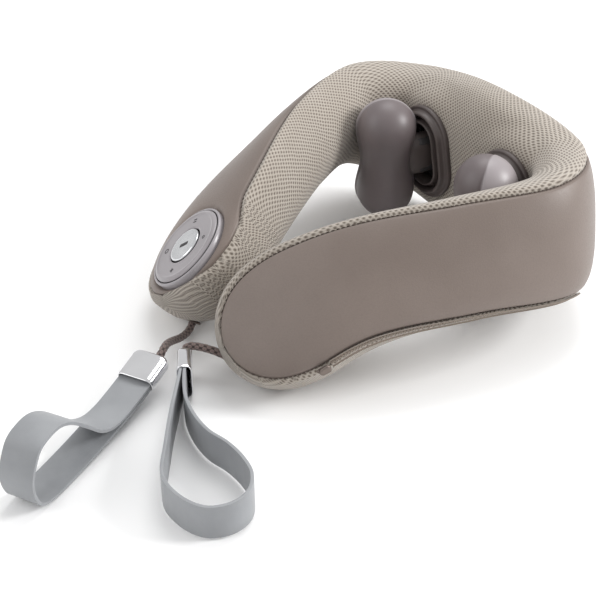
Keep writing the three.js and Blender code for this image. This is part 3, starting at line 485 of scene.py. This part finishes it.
def webbing_look():
    """The hand loops: smooth coated webbing with a fine grain and faint scuffs."""
    look = Look("webbing")
    scuff = look.noise(60, 3)
    grain = look.noise(2400, 3)
    look.set(Base_Color=look.mix(look.ramp(scuff, 0.3, 0.7), linear(141, 143, 146), linear(147, 149, 152)),
             Roughness=look.ramp(scuff, 0.3, 0.7, 0.42, 0.52))
    look.set(Sheen_Weight=0.05, Specular_IOR_Level=0.4)
    look.bump(grain, 0.00005, 0.5)
    return look.material


def cord_look():
    look = Look("cord")
    place = look.cloth_place()
    depth = look.node("ShaderNodeSeparateXYZ", {0: place}).outputs[2]
    fibre = look.noise(14.0, 3, place, 0.7)
    tone = look.mix(look.ramp(fibre, 0.3, 0.7), linear(104, 88, 84), linear(138, 121, 115))
    # Painted shade: where the braid's relief is low, in the grooves between strands, the colour turns near
    # black (50, 40, 38).
    look.set(Base_Color=look.mix(look.ramp(depth, 0.1, 0.8), linear(50, 40, 38), tone), Roughness=0.85)
    look.set(Sheen_Weight=0.3)
    look.bump(fibre, 0.00006, 0.6)
    return look.material


def head_look():
    """Smooth rubber, lighter on the cap: partly the cap's own lighter tone, partly painted light for the
    light its top catches.
    """
    look = Look("head_rubber")
    cap = look.node("ShaderNodeSeparateXYZ", {0: look.cloth_place()}).outputs[0]
    blotch = look.noise(30, 3)
    body = look.mix(look.ramp(blotch, 0.3, 0.7), linear(102, 93, 94), linear(108, 99, 100))
    # The cap's lighter colour (148, 141, 143) is partly its own tone and partly painted light.
    look.set(Base_Color=look.mix(cap, body, linear(148, 141, 143)))
    look.set(Roughness=look.ramp(cap, 0, 1, 0.45, 0.42))
    look.set(Coat_Weight=0.1, Coat_Roughness=0.4)
    look.bump(look.noise(1500, 2), 0.00002, 0.5)
    return look.material


LOOKS = {
    "leather": leather_look(),
    "knit_mesh": knit_look(),
    "foam": fabric("foam", linear(236, 228, 208), 2.0),
    "case": soft_plastic("case", linear(70, 68, 69), 0.55),
    "steel": metal("steel", linear(190, 192, 195), 0.3),
    "bronze": metal("bronze", linear(196, 160, 104), 0.35),
    "head_rubber": head_look(),
    "boot_rubber": soft_plastic("boot_rubber", linear(88, 79, 77), 0.42, 1300, 0.00002),
    "circuit_board": soft_plastic("circuit_board", linear(44, 96, 62), 0.5),
    "disc_rim": soft_plastic("disc_rim", linear(158, 153, 156), 0.3, 800, 0.00001),
    "disc_face": soft_plastic("disc_face", linear(150, 145, 148), 0.33, 1800, 0.00001, 0.2),
    "chrome": metal("chrome", linear(236, 236, 238), 0.09, (300.0, 300.0, 300.0)),
    "button_metal": metal("button_metal", linear(226, 227, 229), 0.22, (160.0, 160.0, 160.0)),
    "zip_metal": metal("zip_metal", linear(120, 110, 104), 0.35),
    "zip_tape": fabric("zip_tape", linear(150, 138, 127)),
    "cord": cord_look(),
    "webbing": webbing_look(),
}
INK = soft_plastic("printed_mark", linear(44, 41, 44), 0.5)
THREAD = fabric("thread", linear(96, 84, 76), 0.6)
# Painted shadow: a near-black material for the floor of the gap round the power button.
GAP_SHADE = soft_plastic("painted_gap_shade", linear(26, 24, 25), 0.7)


def dress_frame():
    """Gives every CAD node the material of its slot."""
    slots = {part["node"]: part["material_slot"] for part in frame["record"]["subparts"]}
    for name, obj in frame["nodes"].items():
        obj.data.materials.clear()
        obj.data.materials.append(LOOKS[slots[name]])


def finish_piece(obj, body, nodes=()):
    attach(obj, body)
    if nodes:
        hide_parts(*nodes)
    return obj


# ---- Camera -----------------------------------------------------------------------------
def make_camera():
    up = np.cross(CAMERA_BACK, CAMERA_RIGHT)
    eye = (CAMERA_TARGET + CAMERA_BACK * CAMERA_DISTANCE) * MM
    camera = bpy.data.objects.new("camera", bpy.data.cameras.new("camera"))
    bpy.context.scene.collection.objects.link(camera)
    place = frame_matrix(CAMERA_RIGHT, up, CAMERA_BACK, eye)
    camera.matrix_world = Matrix(place.tolist())
    camera.data.sensor_width = SENSOR_WIDTH
    camera.data.lens = LENS_LENGTH
    camera.data.shift_x = SHIFT_X
    camera.data.shift_y = SHIFT_Y
    camera.data.clip_start = 0.05
    bpy.context.scene.camera = camera


# ---- Cords, clasps and hand loops -------------------------------------------------------
CORD_ROUTES = {
    "left": [(-32.6, -129.2, 8), (-31.8, -131.2, 5.4), (-30.2, -134.2, 3.8), (-26.8, -139.8, 4),
             (-21.8, -147, 7), (-15.4, -156, 12.4), (-8.6, -164, 17.4), (-2.6, -170, 19.8),
             (0.9, -174.2, 19.4), (4, -180.3, 17.5)],
    "right": [(32.6, -129.2, 8), (30.4, -132.2, 10.2), (25.6, -137.8, 14.8), (19.8, -143.8, 18.8),
              (13.2, -149.6, 20.6), (7.2, -153.8, 20.2), (4.2, -156.6, 18.4), (6.1, -158.9, 16.9),
              (12.8, -163.2, 16.8)],
}


def clasp_place(mouth, axis, across):
    along = unit(np.array(axis, float))
    side = unit(across - along * np.dot(across, along))
    return frame_matrix(along, side, np.cross(along, side), mouth)


CLASP_PLACES = {
    "left": clasp_place((10, -200.1, 12.6), (-0.435, 0.87, 0.2335), np.array([0.894, 0.447, 0.0])),
    "right": clasp_place((30.5, -174.6, CLASP_WIDTH / 2), (-0.84, 0.543, 0), UP),
}


def braided_cord(name):
    """A braided round cord: strands of two opposite helices pass over and under each other."""
    path = smooth_path(CORD_ROUTES[name], 260)
    along = unit(np.gradient(path, axis=0))
    side = unit(np.cross(along, UP))
    other = np.cross(side, along)
    run = np.r_[0, np.cumsum(np.linalg.norm(np.diff(path, axis=0), axis=1))]
    segments = 64
    angle = np.arange(segments) / segments * 2 * math.pi
    strands, lay = 8, 0.62
    first = strands * angle[None, :] / 2 + run[:, None] * lay * 2
    second = strands * angle[None, :] / 2 - run[:, None] * lay * 2
    over = np.abs(np.sin(first)) ** 0.8 * (0.55 + 0.45 * np.cos(second))
    under = np.abs(np.sin(second)) ** 0.8 * (0.55 - 0.45 * np.cos(first))
    relief = np.maximum(over, under)
    radius = CORD_DIAMETER / 2 - BRAID_DEPTH + BRAID_DEPTH * relief
    points = path[:, None] + radius[..., None] * (np.cos(angle)[None, :, None] * side[:, None]
                                                  + np.sin(angle)[None, :, None] * other[:, None])
    # The third cloth value, the braid's relief, also places the painted shade in the grooves (see cord_look).
    cloth = np.stack([np.broadcast_to(run[:, None], relief.shape),
                      np.broadcast_to(angle * CORD_DIAMETER / 2, relief.shape), relief], -1)
    cord = grid_mesh(f"{name}_braided_cord", points, LOOKS["cord"], wrap=True, caps=True, cloth=cloth,
                     flip=True)
    return finish_piece(cord, f"{name}_wing", [f"{name}_cord"]), path, run[-1]


def clasp_shell(name):
    """A chrome sleeve: flat with round edges, round-cornered at the cord and open at the strap."""
    half_width, half_thick = CLASP_WIDTH / 2, CLASP_THICKNESS / 2
    angle = np.linspace(0, 2 * math.pi, 96, endpoint=False)

    def ring(x, width, thick):
        y, z = squarish(angle, 0.3, 0.62)
        return np.stack([np.full_like(angle, x), y * width, z * thick], -1)

    rows = [ring(x, half_width - CLASP_WALL, half_thick - CLASP_WALL) for x in (CLASP_SOCKET, 8, 3, 1, 0.3)]
    rows.append(ring(0.0, half_width - 0.65, half_thick - 0.65))
    rows.append(ring(0.0, half_width - 0.2, half_thick - 0.2))
    rows += [ring(x, half_width, half_thick) for x in np.linspace(0.3, CLASP_LENGTH - CLASP_CORNER, 10)]
    for turn in np.linspace(0.1, math.pi / 2, 16):
        x = CLASP_LENGTH - CLASP_CORNER * (1 - math.sin(turn))
        thick = half_thick * (1 - 0.5 * (1 - math.cos(turn)) ** 1.5)
        rows.append(ring(x, half_width - CLASP_CORNER * (1 - math.cos(turn)), thick))
    rows.append(ring(CLASP_LENGTH, half_width - CLASP_CORNER - 1.5, half_thick * 0.4))
    place = CLASP_PLACES[name]
    points = np.array(rows) @ place[:3, :3].T + place[:3, 3]
    clasp = grid_mesh(f"{name}_clasp_shell", points, LOOKS["chrome"], wrap=True, caps=True)
    return finish_piece(clasp, f"{name}_wing", [f"{name}_clasp"])


def soften_strap(name):
    """The hand loop keeps its own solid, with its long edges rounded over."""
    strap = frame["nodes"][f"{name}_strap"]
    strap.data.polygons.foreach_set("use_smooth", np.ones(len(strap.data.polygons), bool))
    weld = strap.modifiers.new("weld", "WELD")
    weld.merge_threshold = 0.01 * MM
    bevel = strap.modifiers.new("edges", "BEVEL")
    bevel.width = 0.55 * MM
    bevel.segments = 3
    bevel.limit_method = "ANGLE"
    bevel.angle_limit = math.radians(50)
    bevel.harden_normals = True
    return strap


def eyelet(name):
    route = np.array(CORD_ROUTES[name], float)
    axis = unit(route[1] - route[0])
    across = unit(np.cross(axis, UP))
    place = frame_matrix(across, np.cross(axis, across), axis, route[0])
    hole = CORD_DIAMETER / 2 + 0.35
    turn = np.linspace(0, 2 * math.pi, 17)
    profile = [(hole + 1.5 + 1.5 * math.cos(t), 0.9 * math.sin(t)) for t in turn]
    ring = turned(f"{name}_eyelet_ring", profile, place, LOOKS["zip_metal"], 64)
    return finish_piece(ring, f"{name}_wing", [f"{name}_eyelet"])


def make_cords():
    for name in SIDES:
        cord, path, length = braided_cord(name)
        clasp = clasp_shell(name)
        strap = soften_strap(name)
        eyelet(name)


# ---- Covers -----------------------------------------------------------------------------
POD = place_on(POD_STATION, POD_RISE)
PORT_STATION, PORT_RISE = 0.45, -22.0
PORT_OPENING = np.array([5.4, 2.4, 8.0])


def boot_frame(side):
    """The boot's own axes: x across, y up its lean, z towards the heads."""
    y = np.array([side * math.sin(BOOT_LEAN), 0.0, math.cos(BOOT_LEAN)])
    z = np.array([0.0, -1.0, 0.0])
    return frame_matrix(np.cross(y, z), y, z, (side * BOOT_X, BOOT_Y, BOOT_Z))


def oval_distance(local):
    """Distance from the boot's straight centre line, seen from the front."""
    y = np.maximum(np.abs(local[..., 1]) - BOOT_STRETCH, 0)
    return np.hypot(local[..., 0], y)


def press_under_boots(points, side):
    """The cloth lies flat under the boot's flange and eases back to its own shape around it."""
    place = boot_frame(side)
    local = local_to(place, points)
    away = oval_distance(local)
    weight = 1 - smoothstep(away, BOOT_BED, BOOT_EASE)
    weight = weight * (np.abs(local[..., 2]) < BOOT_REACH)
    local = local.copy()
    local[..., 2] = local[..., 2] * (1 - weight) - BOOT_SINK * weight
    return local @ place[:3, :3].T + place[:3, 3], away


def blend_wing(obj):
    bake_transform(obj)
    return obj


def leather_panel(name):
    side = SIDES[name]
    s = half_collar_stations(TIP_RIM) * side
    top, bottom = seam_angles(s)
    steps = np.linspace(0, 1, 73)
    ease = steps - 0.12 * np.sin(2 * math.pi * steps) / (2 * math.pi)
    angle = top[:, None] + (bottom - top)[:, None] * ease[None, :]
    run = run_across(surface(s, angle))
    points = surface(s, angle, seam_lift(run))
    keep = np.ones((points.shape[0] - 1, points.shape[1] - 1), bool)
    centre = (points[:-1, :-1] + points[1:, 1:]) / 2
    if side < 0:
        points = collar_round_disc(points)
        local = local_to(POD, centre)
        keep &= (np.hypot(local[..., 0], local[..., 1]) > BEZEL_RADIUS - 0.7) | (np.abs(local[..., 2]) > 20)
    else:
        local = local_to(place_on(PORT_STATION, PORT_RISE), centre)
        keep &= ~(np.abs(local) < PORT_OPENING).all(axis=-1)
    panel = grid_mesh(f"leather_{name}", points, LOOKS["leather"], keep=keep, flip=side > 0)
    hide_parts(f"leather_cover_{name}", *(["leather_cover_back"] if side < 0 else []))
    return blend_wing(panel)


def collar_round_disc(points):
    """The cover dips into a narrow groove round the control disc, behind a soft swell."""
    local = local_to(POD, points)
    radius = np.hypot(local[..., 0], local[..., 1])
    close = 1 - smoothstep(np.abs(local[..., 2]), 7, 16)
    flat = (1 - smoothstep(radius, BEZEL_RADIUS, DISC_BED_EDGE)) * close
    groove = -GROOVE_DEPTH * np.exp(-((radius - GROOVE_RADIUS) / GROOVE_WIDTH) ** 2)
    local[..., 2] = local[..., 2] * (1 - DISC_BED_FLATNESS * flat) + groove * close
    return local @ POD[:3, :3].T + POD[:3, 3]


def knit_panel(name):
    side = SIDES[name]
    s = half_collar_stations(0.0) * side
    top, bottom = seam_angles(s)
    steps = np.linspace(0, 1, 121)
    ease = steps - 0.35 * np.sin(2 * math.pi * steps) / (2 * math.pi)
    angle = bottom[:, None] + (top + 2 * math.pi - bottom)[:, None] * ease[None, :]
    bare = surface(s, angle)
    run = run_across(bare)
    lift = seam_lift(run, 1.5, 0.7)
    closing = distance_to_tip(s) < TIP_RIM
    lift[closing] *= (distance_to_tip(s)[closing] / TIP_RIM)[:, None]
    points = surface(s, angle, lift)
    if side < 0:
        points = collar_round_disc(points)
    points, away = press_under_boots(points, side)
    keep = np.minimum(away[:-1, :-1], away[1:, 1:]) > BOOT_OPENING
    keep |= (points[:-1, :-1, 1] < BOOT_FRONT_Y) | (points[:-1, :-1, 1] > BOOT_REAR_Y)
    middle_column = np.argmin(np.abs(angle - 1.5 * math.pi), axis=1)
    rows = np.arange(len(s))
    inner_line = bare[rows, middle_column]
    u = np.r_[0, np.cumsum(np.linalg.norm(np.diff(inner_line, axis=0), axis=1))]
    v = run - run[rows, middle_column][:, None]
    cloth = np.stack([np.broadcast_to(u[:, None], v.shape) * side, v, np.zeros_like(v)], -1)
    panel = grid_mesh(f"knit_{name}", points, LOOKS["knit_mesh"], keep=keep, cloth=cloth, flip=side > 0)
    hidden = [f"mesh_cover_{name}", f"foam_{name}"] + (["mesh_cover_back", "foam_back"] if side < 0 else [])
    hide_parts(*hidden)
    return blend_wing(panel)


def capsules(name, centres, along, across, normal, size, material):
    """Small rounded bars, one per centre, joined in one mesh."""
    turns = np.linspace(0, 2 * math.pi, 6, endpoint=False)
    rings = [(-1.0, 0.35), (-0.75, 0.85), (0.0, 1.0), (0.75, 0.85), (1.0, 0.35)]
    points, faces = [], []
    for c, a, b, n in zip(centres, along, across, normal):
        start = len(points)
        for step, width in rings:
            for angle in turns:
                points.append(c + a * step * size[0] / 2 + b * math.cos(angle) * width * size[1] / 2
                              + n * math.sin(angle) * width * size[2] / 2)
        faces += grid_faces(len(rings), len(turns), True, None, start)
        end = start + (len(rings) - 1) * len(turns)
        faces.append(tuple(range(start, start + len(turns)))[::-1])
        faces.append(tuple(range(end, end + len(turns))))
    return make_mesh(name, points, faces, material)


def frames_on(s, angle, lift):
    """Points on the surface with their directions along, across and out."""
    here = surface(s, angle, np.full(np.shape(s), lift))
    ahead = surface(s + 0.004, angle, np.full(np.shape(s), lift))
    beside = surface(s, angle + 0.01, np.full(np.shape(s), lift))
    along = unit(ahead - here)
    across = unit(beside - here)
    return here, along, across, unit(np.cross(across, along))


def seam_stitches(name):
    """Thread in the groove between leather and knit, at both seams."""
    side = SIDES[name]
    distances = np.arange(TIP_RIM + 3, TABLE_RUN[-1], STITCH_PITCH)
    s = station_at_distance(distances) * side
    top, bottom = seam_angles(s)
    parts = [frames_on(s, angle, -1.05) for angle in (top, bottom)]
    centres, along, across, out = (np.concatenate(group) for group in zip(*parts))
    thread = capsules(f"seam_thread_{name}", centres, along, across, out, (2.3, 0.8, 0.8), THREAD)
    return blend_wing(thread)


def zip_along_right_wing():
    s = np.linspace(ZIP_FROM, ZIP_TO, 220)
    here, along, across, out = frames_on(s, np.full_like(s, ZIP_ANGLE), TAPE_LIFT)
    profile = [(-3.5, -0.9), (-3.2, 0.1), (-1.3, 0.35), (-0.8, -0.25), (0.8, -0.25), (1.3, 0.35), (3.2, 0.1),
               (3.5, -0.9)]
    rows = np.stack([here + across * a * 0.82 + out * b for a, b in profile], axis=1)
    tape = grid_mesh("zip_tape", rows, LOOKS["zip_tape"], flip=True)
    finish_piece(tape, "right_wing", ["zipper_tape"])
    distances = np.arange(distance_to_tip(ZIP_TO), distance_to_tip(ZIP_FROM), TOOTH_PITCH)
    s = station_at_distance(distances)
    here, along, across, out = frames_on(s, np.full_like(s, ZIP_ANGLE), TAPE_LIFT)
    swing = np.where(np.arange(len(s)) % 2 == 0, 0.35, -0.35)[:, None]
    teeth = capsules("zip_teeth", here + across * swing, across, along, out, (1.7, 0.75, 0.7), THREAD)
    finish_piece(teeth, "right_wing")


def zip_slider():
    s = np.array([SLIDER_STATION])
    here, along, across, out = (q[0] for q in frames_on(s, np.array([ZIP_ANGLE]), SLIDER_LIFT))
    place = frame_matrix(along, across, out, here)
    angle = np.linspace(0, 2 * math.pi, 32, endpoint=False)
    y, z = squarish(angle, 0.5, 0.6)
    half_length, half_thick = 4.3, 1.6
    rows = []
    for x in np.linspace(-1, 1, 15):
        width = 2.3 + 0.9 * (1 - x) / 2
        shrink = math.sqrt(max(1 - abs(x) ** 5, 0.03))
        ring = [np.full_like(angle, x * half_length), y * width * shrink, z * half_thick * shrink]
        rows.append(np.stack(ring, -1))
    points = np.array(rows) @ place[:3, :3].T + place[:3, 3]
    body = grid_mesh("zip_slider_body", points, LOOKS["zip_metal"], wrap=True, caps=True)
    finish_piece(body, "zipper_slider", ["zipper_slider"])
    wire = [(1.1, -0.35), (1.6, -0.4), (1.9, 0), (1.6, 0.4), (1.1, 0.35), (0.9, 0), (1.1, -0.35)]
    over = frame_matrix(across, along, np.cross(across, along), here + along * 1.6 + out * 2.2)
    pull = turned("zip_pull", wire, over, LOOKS["zip_metal"], 32, stretch=2.0)
    finish_piece(pull, "zipper_slider")


# ---- Boots, necks and heads -------------------------------------------------------------
BOOT_PROFILE = [(18.6, -4), (24.8, -2.6), (26.2, 0.2), (26.3, 2.6), (25.4, 3.7), (23.6, 3.5), (22.5, 4.4),
                (21.7, 7.2), (20.6, 8.1), (19.2, 7.6), (18.5, 5.0), (17.6, 1.8), (16.6, 1.7), (15.9, 4.2),
                (15.2, 7.6), (14.5, 8.5), (13.6, 8.2), (13.1, 6.6), (12.9, 3.4), (13.3, 0), (14.2, -5)]


def boot(name):
    profile = rounded(BOOT_PROFILE, 0.9)
    ring = turned(f"{name}_boot", profile, boot_frame(SIDES[name]), LOOKS["boot_rubber"], 120, BOOT_STRETCH)
    return finish_piece(ring, "root", [f"{name}_boot_flange", f"{name}_boot_bellows"])


NECK_PATH = [(44, 100, 70), (44.4, 96, 69.8), (45, 90, 69.5), (48.5, 82, 69), (53, 74, 68.5)]
NECK_WIDTH, NECK_HEIGHT = 16.0, 33.0


def neck(name):
    side = SIDES[name]
    steps = 30
    path = smooth_path(NECK_PATH, steps)
    along = unit(np.gradient(path, axis=0))
    across = unit(np.cross(along, UP))
    upright = unit(np.array([math.sin(BOOT_LEAN) * 0.5, 0, 1.0]))
    segments = 64
    angle = (np.arange(segments) + 0.5) / segments * 2 * math.pi
    share = np.linspace(0, 1, steps)
    swell = 1 + 0.1 * smoothstep(share, 0.55, 1.0)
    bulb = 1 + 0.16 * np.exp(-((share - 0.62) / 0.2) ** 2)
    wide = np.cos(angle)[None, :] * NECK_WIDTH / 2 * bulb[:, None]
    tall = np.sign(np.sin(angle)) * np.abs(np.sin(angle)) ** 0.85 * NECK_HEIGHT / 2 * swell[:, None]
    points = path[:, None] + wide[..., None] * across[:, None] + tall[..., None] * upright
    points[..., 0] *= side
    sleeve = grid_mesh(f"{name}_neck", points, LOOKS["boot_rubber"], wrap=True, caps=True, flip=side < 0)
    return finish_piece(sleeve, f"{name}_kneader")


def head(name):
    """A peanut with a cap on its outer side, which steps down to the body along a soft crease."""
    side = SIDES[name]
    turn = np.linspace(0, math.pi, 120)
    height = -(LOBE_OFFSET + LOBE_RADIUS) * np.cos(turn)
    lobe = np.sqrt(np.clip(LOBE_RADIUS ** 2 - (np.abs(height) - LOBE_OFFSET) ** 2, 0, None))
    bridge = WAIST_RADIUS + (LOBE_RADIUS - WAIST_RADIUS) * smoothstep(np.abs(height), 0, LOBE_OFFSET)
    radius = np.where(np.abs(height) > LOBE_OFFSET, lobe, bridge)
    angle = np.linspace(0, 2 * math.pi, 128, endpoint=False)
    x = radius[:, None] * np.cos(angle)[None, :]
    y = radius[:, None] * np.sin(angle)[None, :]
    z = np.broadcast_to(height[:, None], x.shape)
    points = np.stack([x, y, z], -1)
    reach = points @ unit(CAP_DIRECTION)
    cap = smoothstep(reach, 2.2, 3.4)
    points[..., :2] *= (1 - 0.06 * (1 - cap) - 0.04 * np.exp(-((reach - 2.2) / 0.7) ** 2))[..., None]
    points[..., 0] *= side
    points += np.array([side * HEAD_CENTRE[0], HEAD_CENTRE[1], HEAD_CENTRE[2]])
    # The cap mask goes to head_look, where the cap is painted lighter, partly as painted light.
    cloth = np.stack([cap, np.zeros_like(cap), np.zeros_like(cap)], -1)
    skin = grid_mesh(f"{name}_head", points, LOOKS["head_rubber"], wrap=True, cloth=cloth, flip=side > 0)
    return finish_piece(skin, f"{name}_kneader", [f"{name}_head_skin"])


# ---- Control disc -----------------------------------------------------------------------
def control_disc():
    bezel = [(30.9, -4.5), (BEZEL_RADIUS, -4.5), (BEZEL_RADIUS, 0.9), (32.4, 1.7), (31.4, 1.7), (30.9, 1.0),
             (30.9, -4.5)]
    finish_piece(turned("disc_bezel", rounded(bezel), POD, LOOKS["disc_rim"], 160), "left_wing",
                 ["control_bezel"])
    crown = [(RING_HOLE, 1.4), (RING_RADIUS, 1.4), (RING_RADIUS, 1.9), (29.8, 2.6), (28.2, 3.5), (27.2, 3.6),
             (26.2, 3.1), (24.0, 3.05), (18, 3.1), (15.8, 3.2), (RING_HOLE, 2.7), (RING_HOLE, 1.4)]
    finish_piece(turned("disc_ring", rounded(crown, 0.9), POD, LOOKS["disc_face"], 160),
                 "function_ring", ["function_ring"])
    # A near-black ring at the bottom of the gap between ring and button: painted shadow in the gap.
    well = [(RING_HOLE + 0.4, 0.0), (BUTTON_RADIUS - 0.9, 0.0), (BUTTON_RADIUS - 0.9, -0.4),
            (RING_HOLE + 0.4, -0.4), (RING_HOLE + 0.4, 0.0)]
    finish_piece(turned("disc_well", well, POD, GAP_SHADE, 96), "left_wing")
    cap = [(0, 3.9), (7, 4.0), (11, 4.1), (12.7, 4.1), (BUTTON_RADIUS, 3.5), (BUTTON_RADIUS, 1.4),
           (BUTTON_RADIUS - 1.2, 1.4), (BUTTON_RADIUS - 1.2, -2.5), (0, -2.5)]
    finish_piece(turned("power_cap", rounded(cap, 0.5)[::-1], POD, LOOKS["button_metal"], 128),
                 "power_button", ["power_button"])
    bar = bar_mark("power_mark", 0.0, 0.0, (8.6, 3.1), 109.0, BUTTON_FACE)
    finish_piece(bar, "power_button")
    marks = [
        bar_mark("mark_top_upper", 22.8, 191, (3.4, 0.9), 100.0, DISC_FACE),
        bar_mark("mark_top_lower", 20.6, 191, (3.4, 0.9), 100.0, DISC_FACE),
        ring_mark("mark_back", 21.0, -80, 2.0),
        bar_mark("mark_tip", 21.4, 3, (3.8, 0.9), 109.0, DISC_FACE),
        bar_mark("mark_tip_cross", 21.4, 3, (3.8, 0.9), 19.0, DISC_FACE),
        ring_mark("mark_inner", 20.2, 105, 1.4),
    ]
    for mark in marks:
        finish_piece(mark, "function_ring")


def on_bearing(radius, bearing):
    """The plan point at a radius and a bearing in degrees."""
    turn = math.radians(bearing)
    return np.array([radius * math.cos(turn), radius * math.sin(turn)])


def bar_mark(name, radius, bearing, size, turn, height):
    """A thin printed bar on the disc: at a radius and bearing, turned in its own plane."""
    angle = np.linspace(0, 2 * math.pi, 24, endpoint=False)
    x, y = squarish(angle, 0.35, 0.35)
    x, y = x * size[0] / 2, y * size[1] / 2
    t = math.radians(turn)
    plan = np.stack([x * math.cos(t) - y * math.sin(t), x * math.sin(t) + y * math.cos(t)], -1)
    centre = on_bearing(radius, bearing)
    rows = [np.column_stack([plan * k + centre, np.full_like(angle, height + z)])
            for k, z in ((1, -0.6), (1, 0.05), (0.94, 0.1))]
    points = np.array(rows) @ POD[:3, :3].T + POD[:3, 3]
    return grid_mesh(name, points, INK, wrap=True, caps=True)


def ring_mark(name, radius, bearing, size):
    """A thin printed ring on the disc's face."""
    place = POD.copy()
    place[:3, 3] = POD[:3, :3] @ np.array([*on_bearing(radius, bearing), DISC_FACE]) + POD[:3, 3]
    profile = [(size, -0.5), (size, 0.1), (size - 0.6, 0.1), (size - 0.6, -0.5), (size, -0.5)]
    return turned(name, profile, place, INK, 40)


# ---- Stage ------------------------------------------------------------------------------
def make_stage():
    floor_look = Look("floor")
    floor_look.set(Base_Color=linear(250, 250, 250), Roughness=0.85)
    floor_look.bump(floor_look.noise(40, 2), 0.0002, 0.1)
    half_size, level = 4000.0, -0.3
    corners = [[[x * half_size, y * half_size, level] for x in (-1, 1)] for y in (-1, 1)]
    floor = grid_mesh("floor", np.array(corners), floor_look.material)
    world = bpy.data.worlds.new("studio")
    bpy.context.scene.world = world
    world.use_nodes = True
    world.node_tree.nodes["Background"].inputs[0].default_value = (1.0, 1.0, 1.0, 1.0)
    world.node_tree.nodes["Background"].inputs[1].default_value = 0.7
    lamps = {
        "key": ((-0.45, 0.5, 1.4), 1.0, 9.0),
        "fill": ((-0.5, -1.3, 1.0), 1.2, 6.0),
        "rim": ((1.05, 1.3, 1.0), 0.7, 28.0),
    }
    for name, (spot, width, power) in lamps.items():
        lamp = bpy.data.objects.new(name, bpy.data.lights.new(name, "AREA"))
        bpy.context.scene.collection.objects.link(lamp)
        lamp.data.shape = "DISK"
        lamp.data.size = width
        lamp.data.energy = power
        lamp.location = spot
        aim = Vector((0.0, 0.0, 0.06)) - lamp.location
        lamp.rotation_euler = aim.to_track_quat("-Z", "Y").to_euler()
    bpy.context.scene.view_settings.view_transform = "Standard"


make_camera()
make_cords()
dress_frame()
for wing in SIDES:
    leather_panel(wing)
    knit_panel(wing)
    seam_stitches(wing)
    boot(wing)
    neck(wing)
    head(wing)
zip_along_right_wing()
zip_slider()
control_disc()
make_stage()
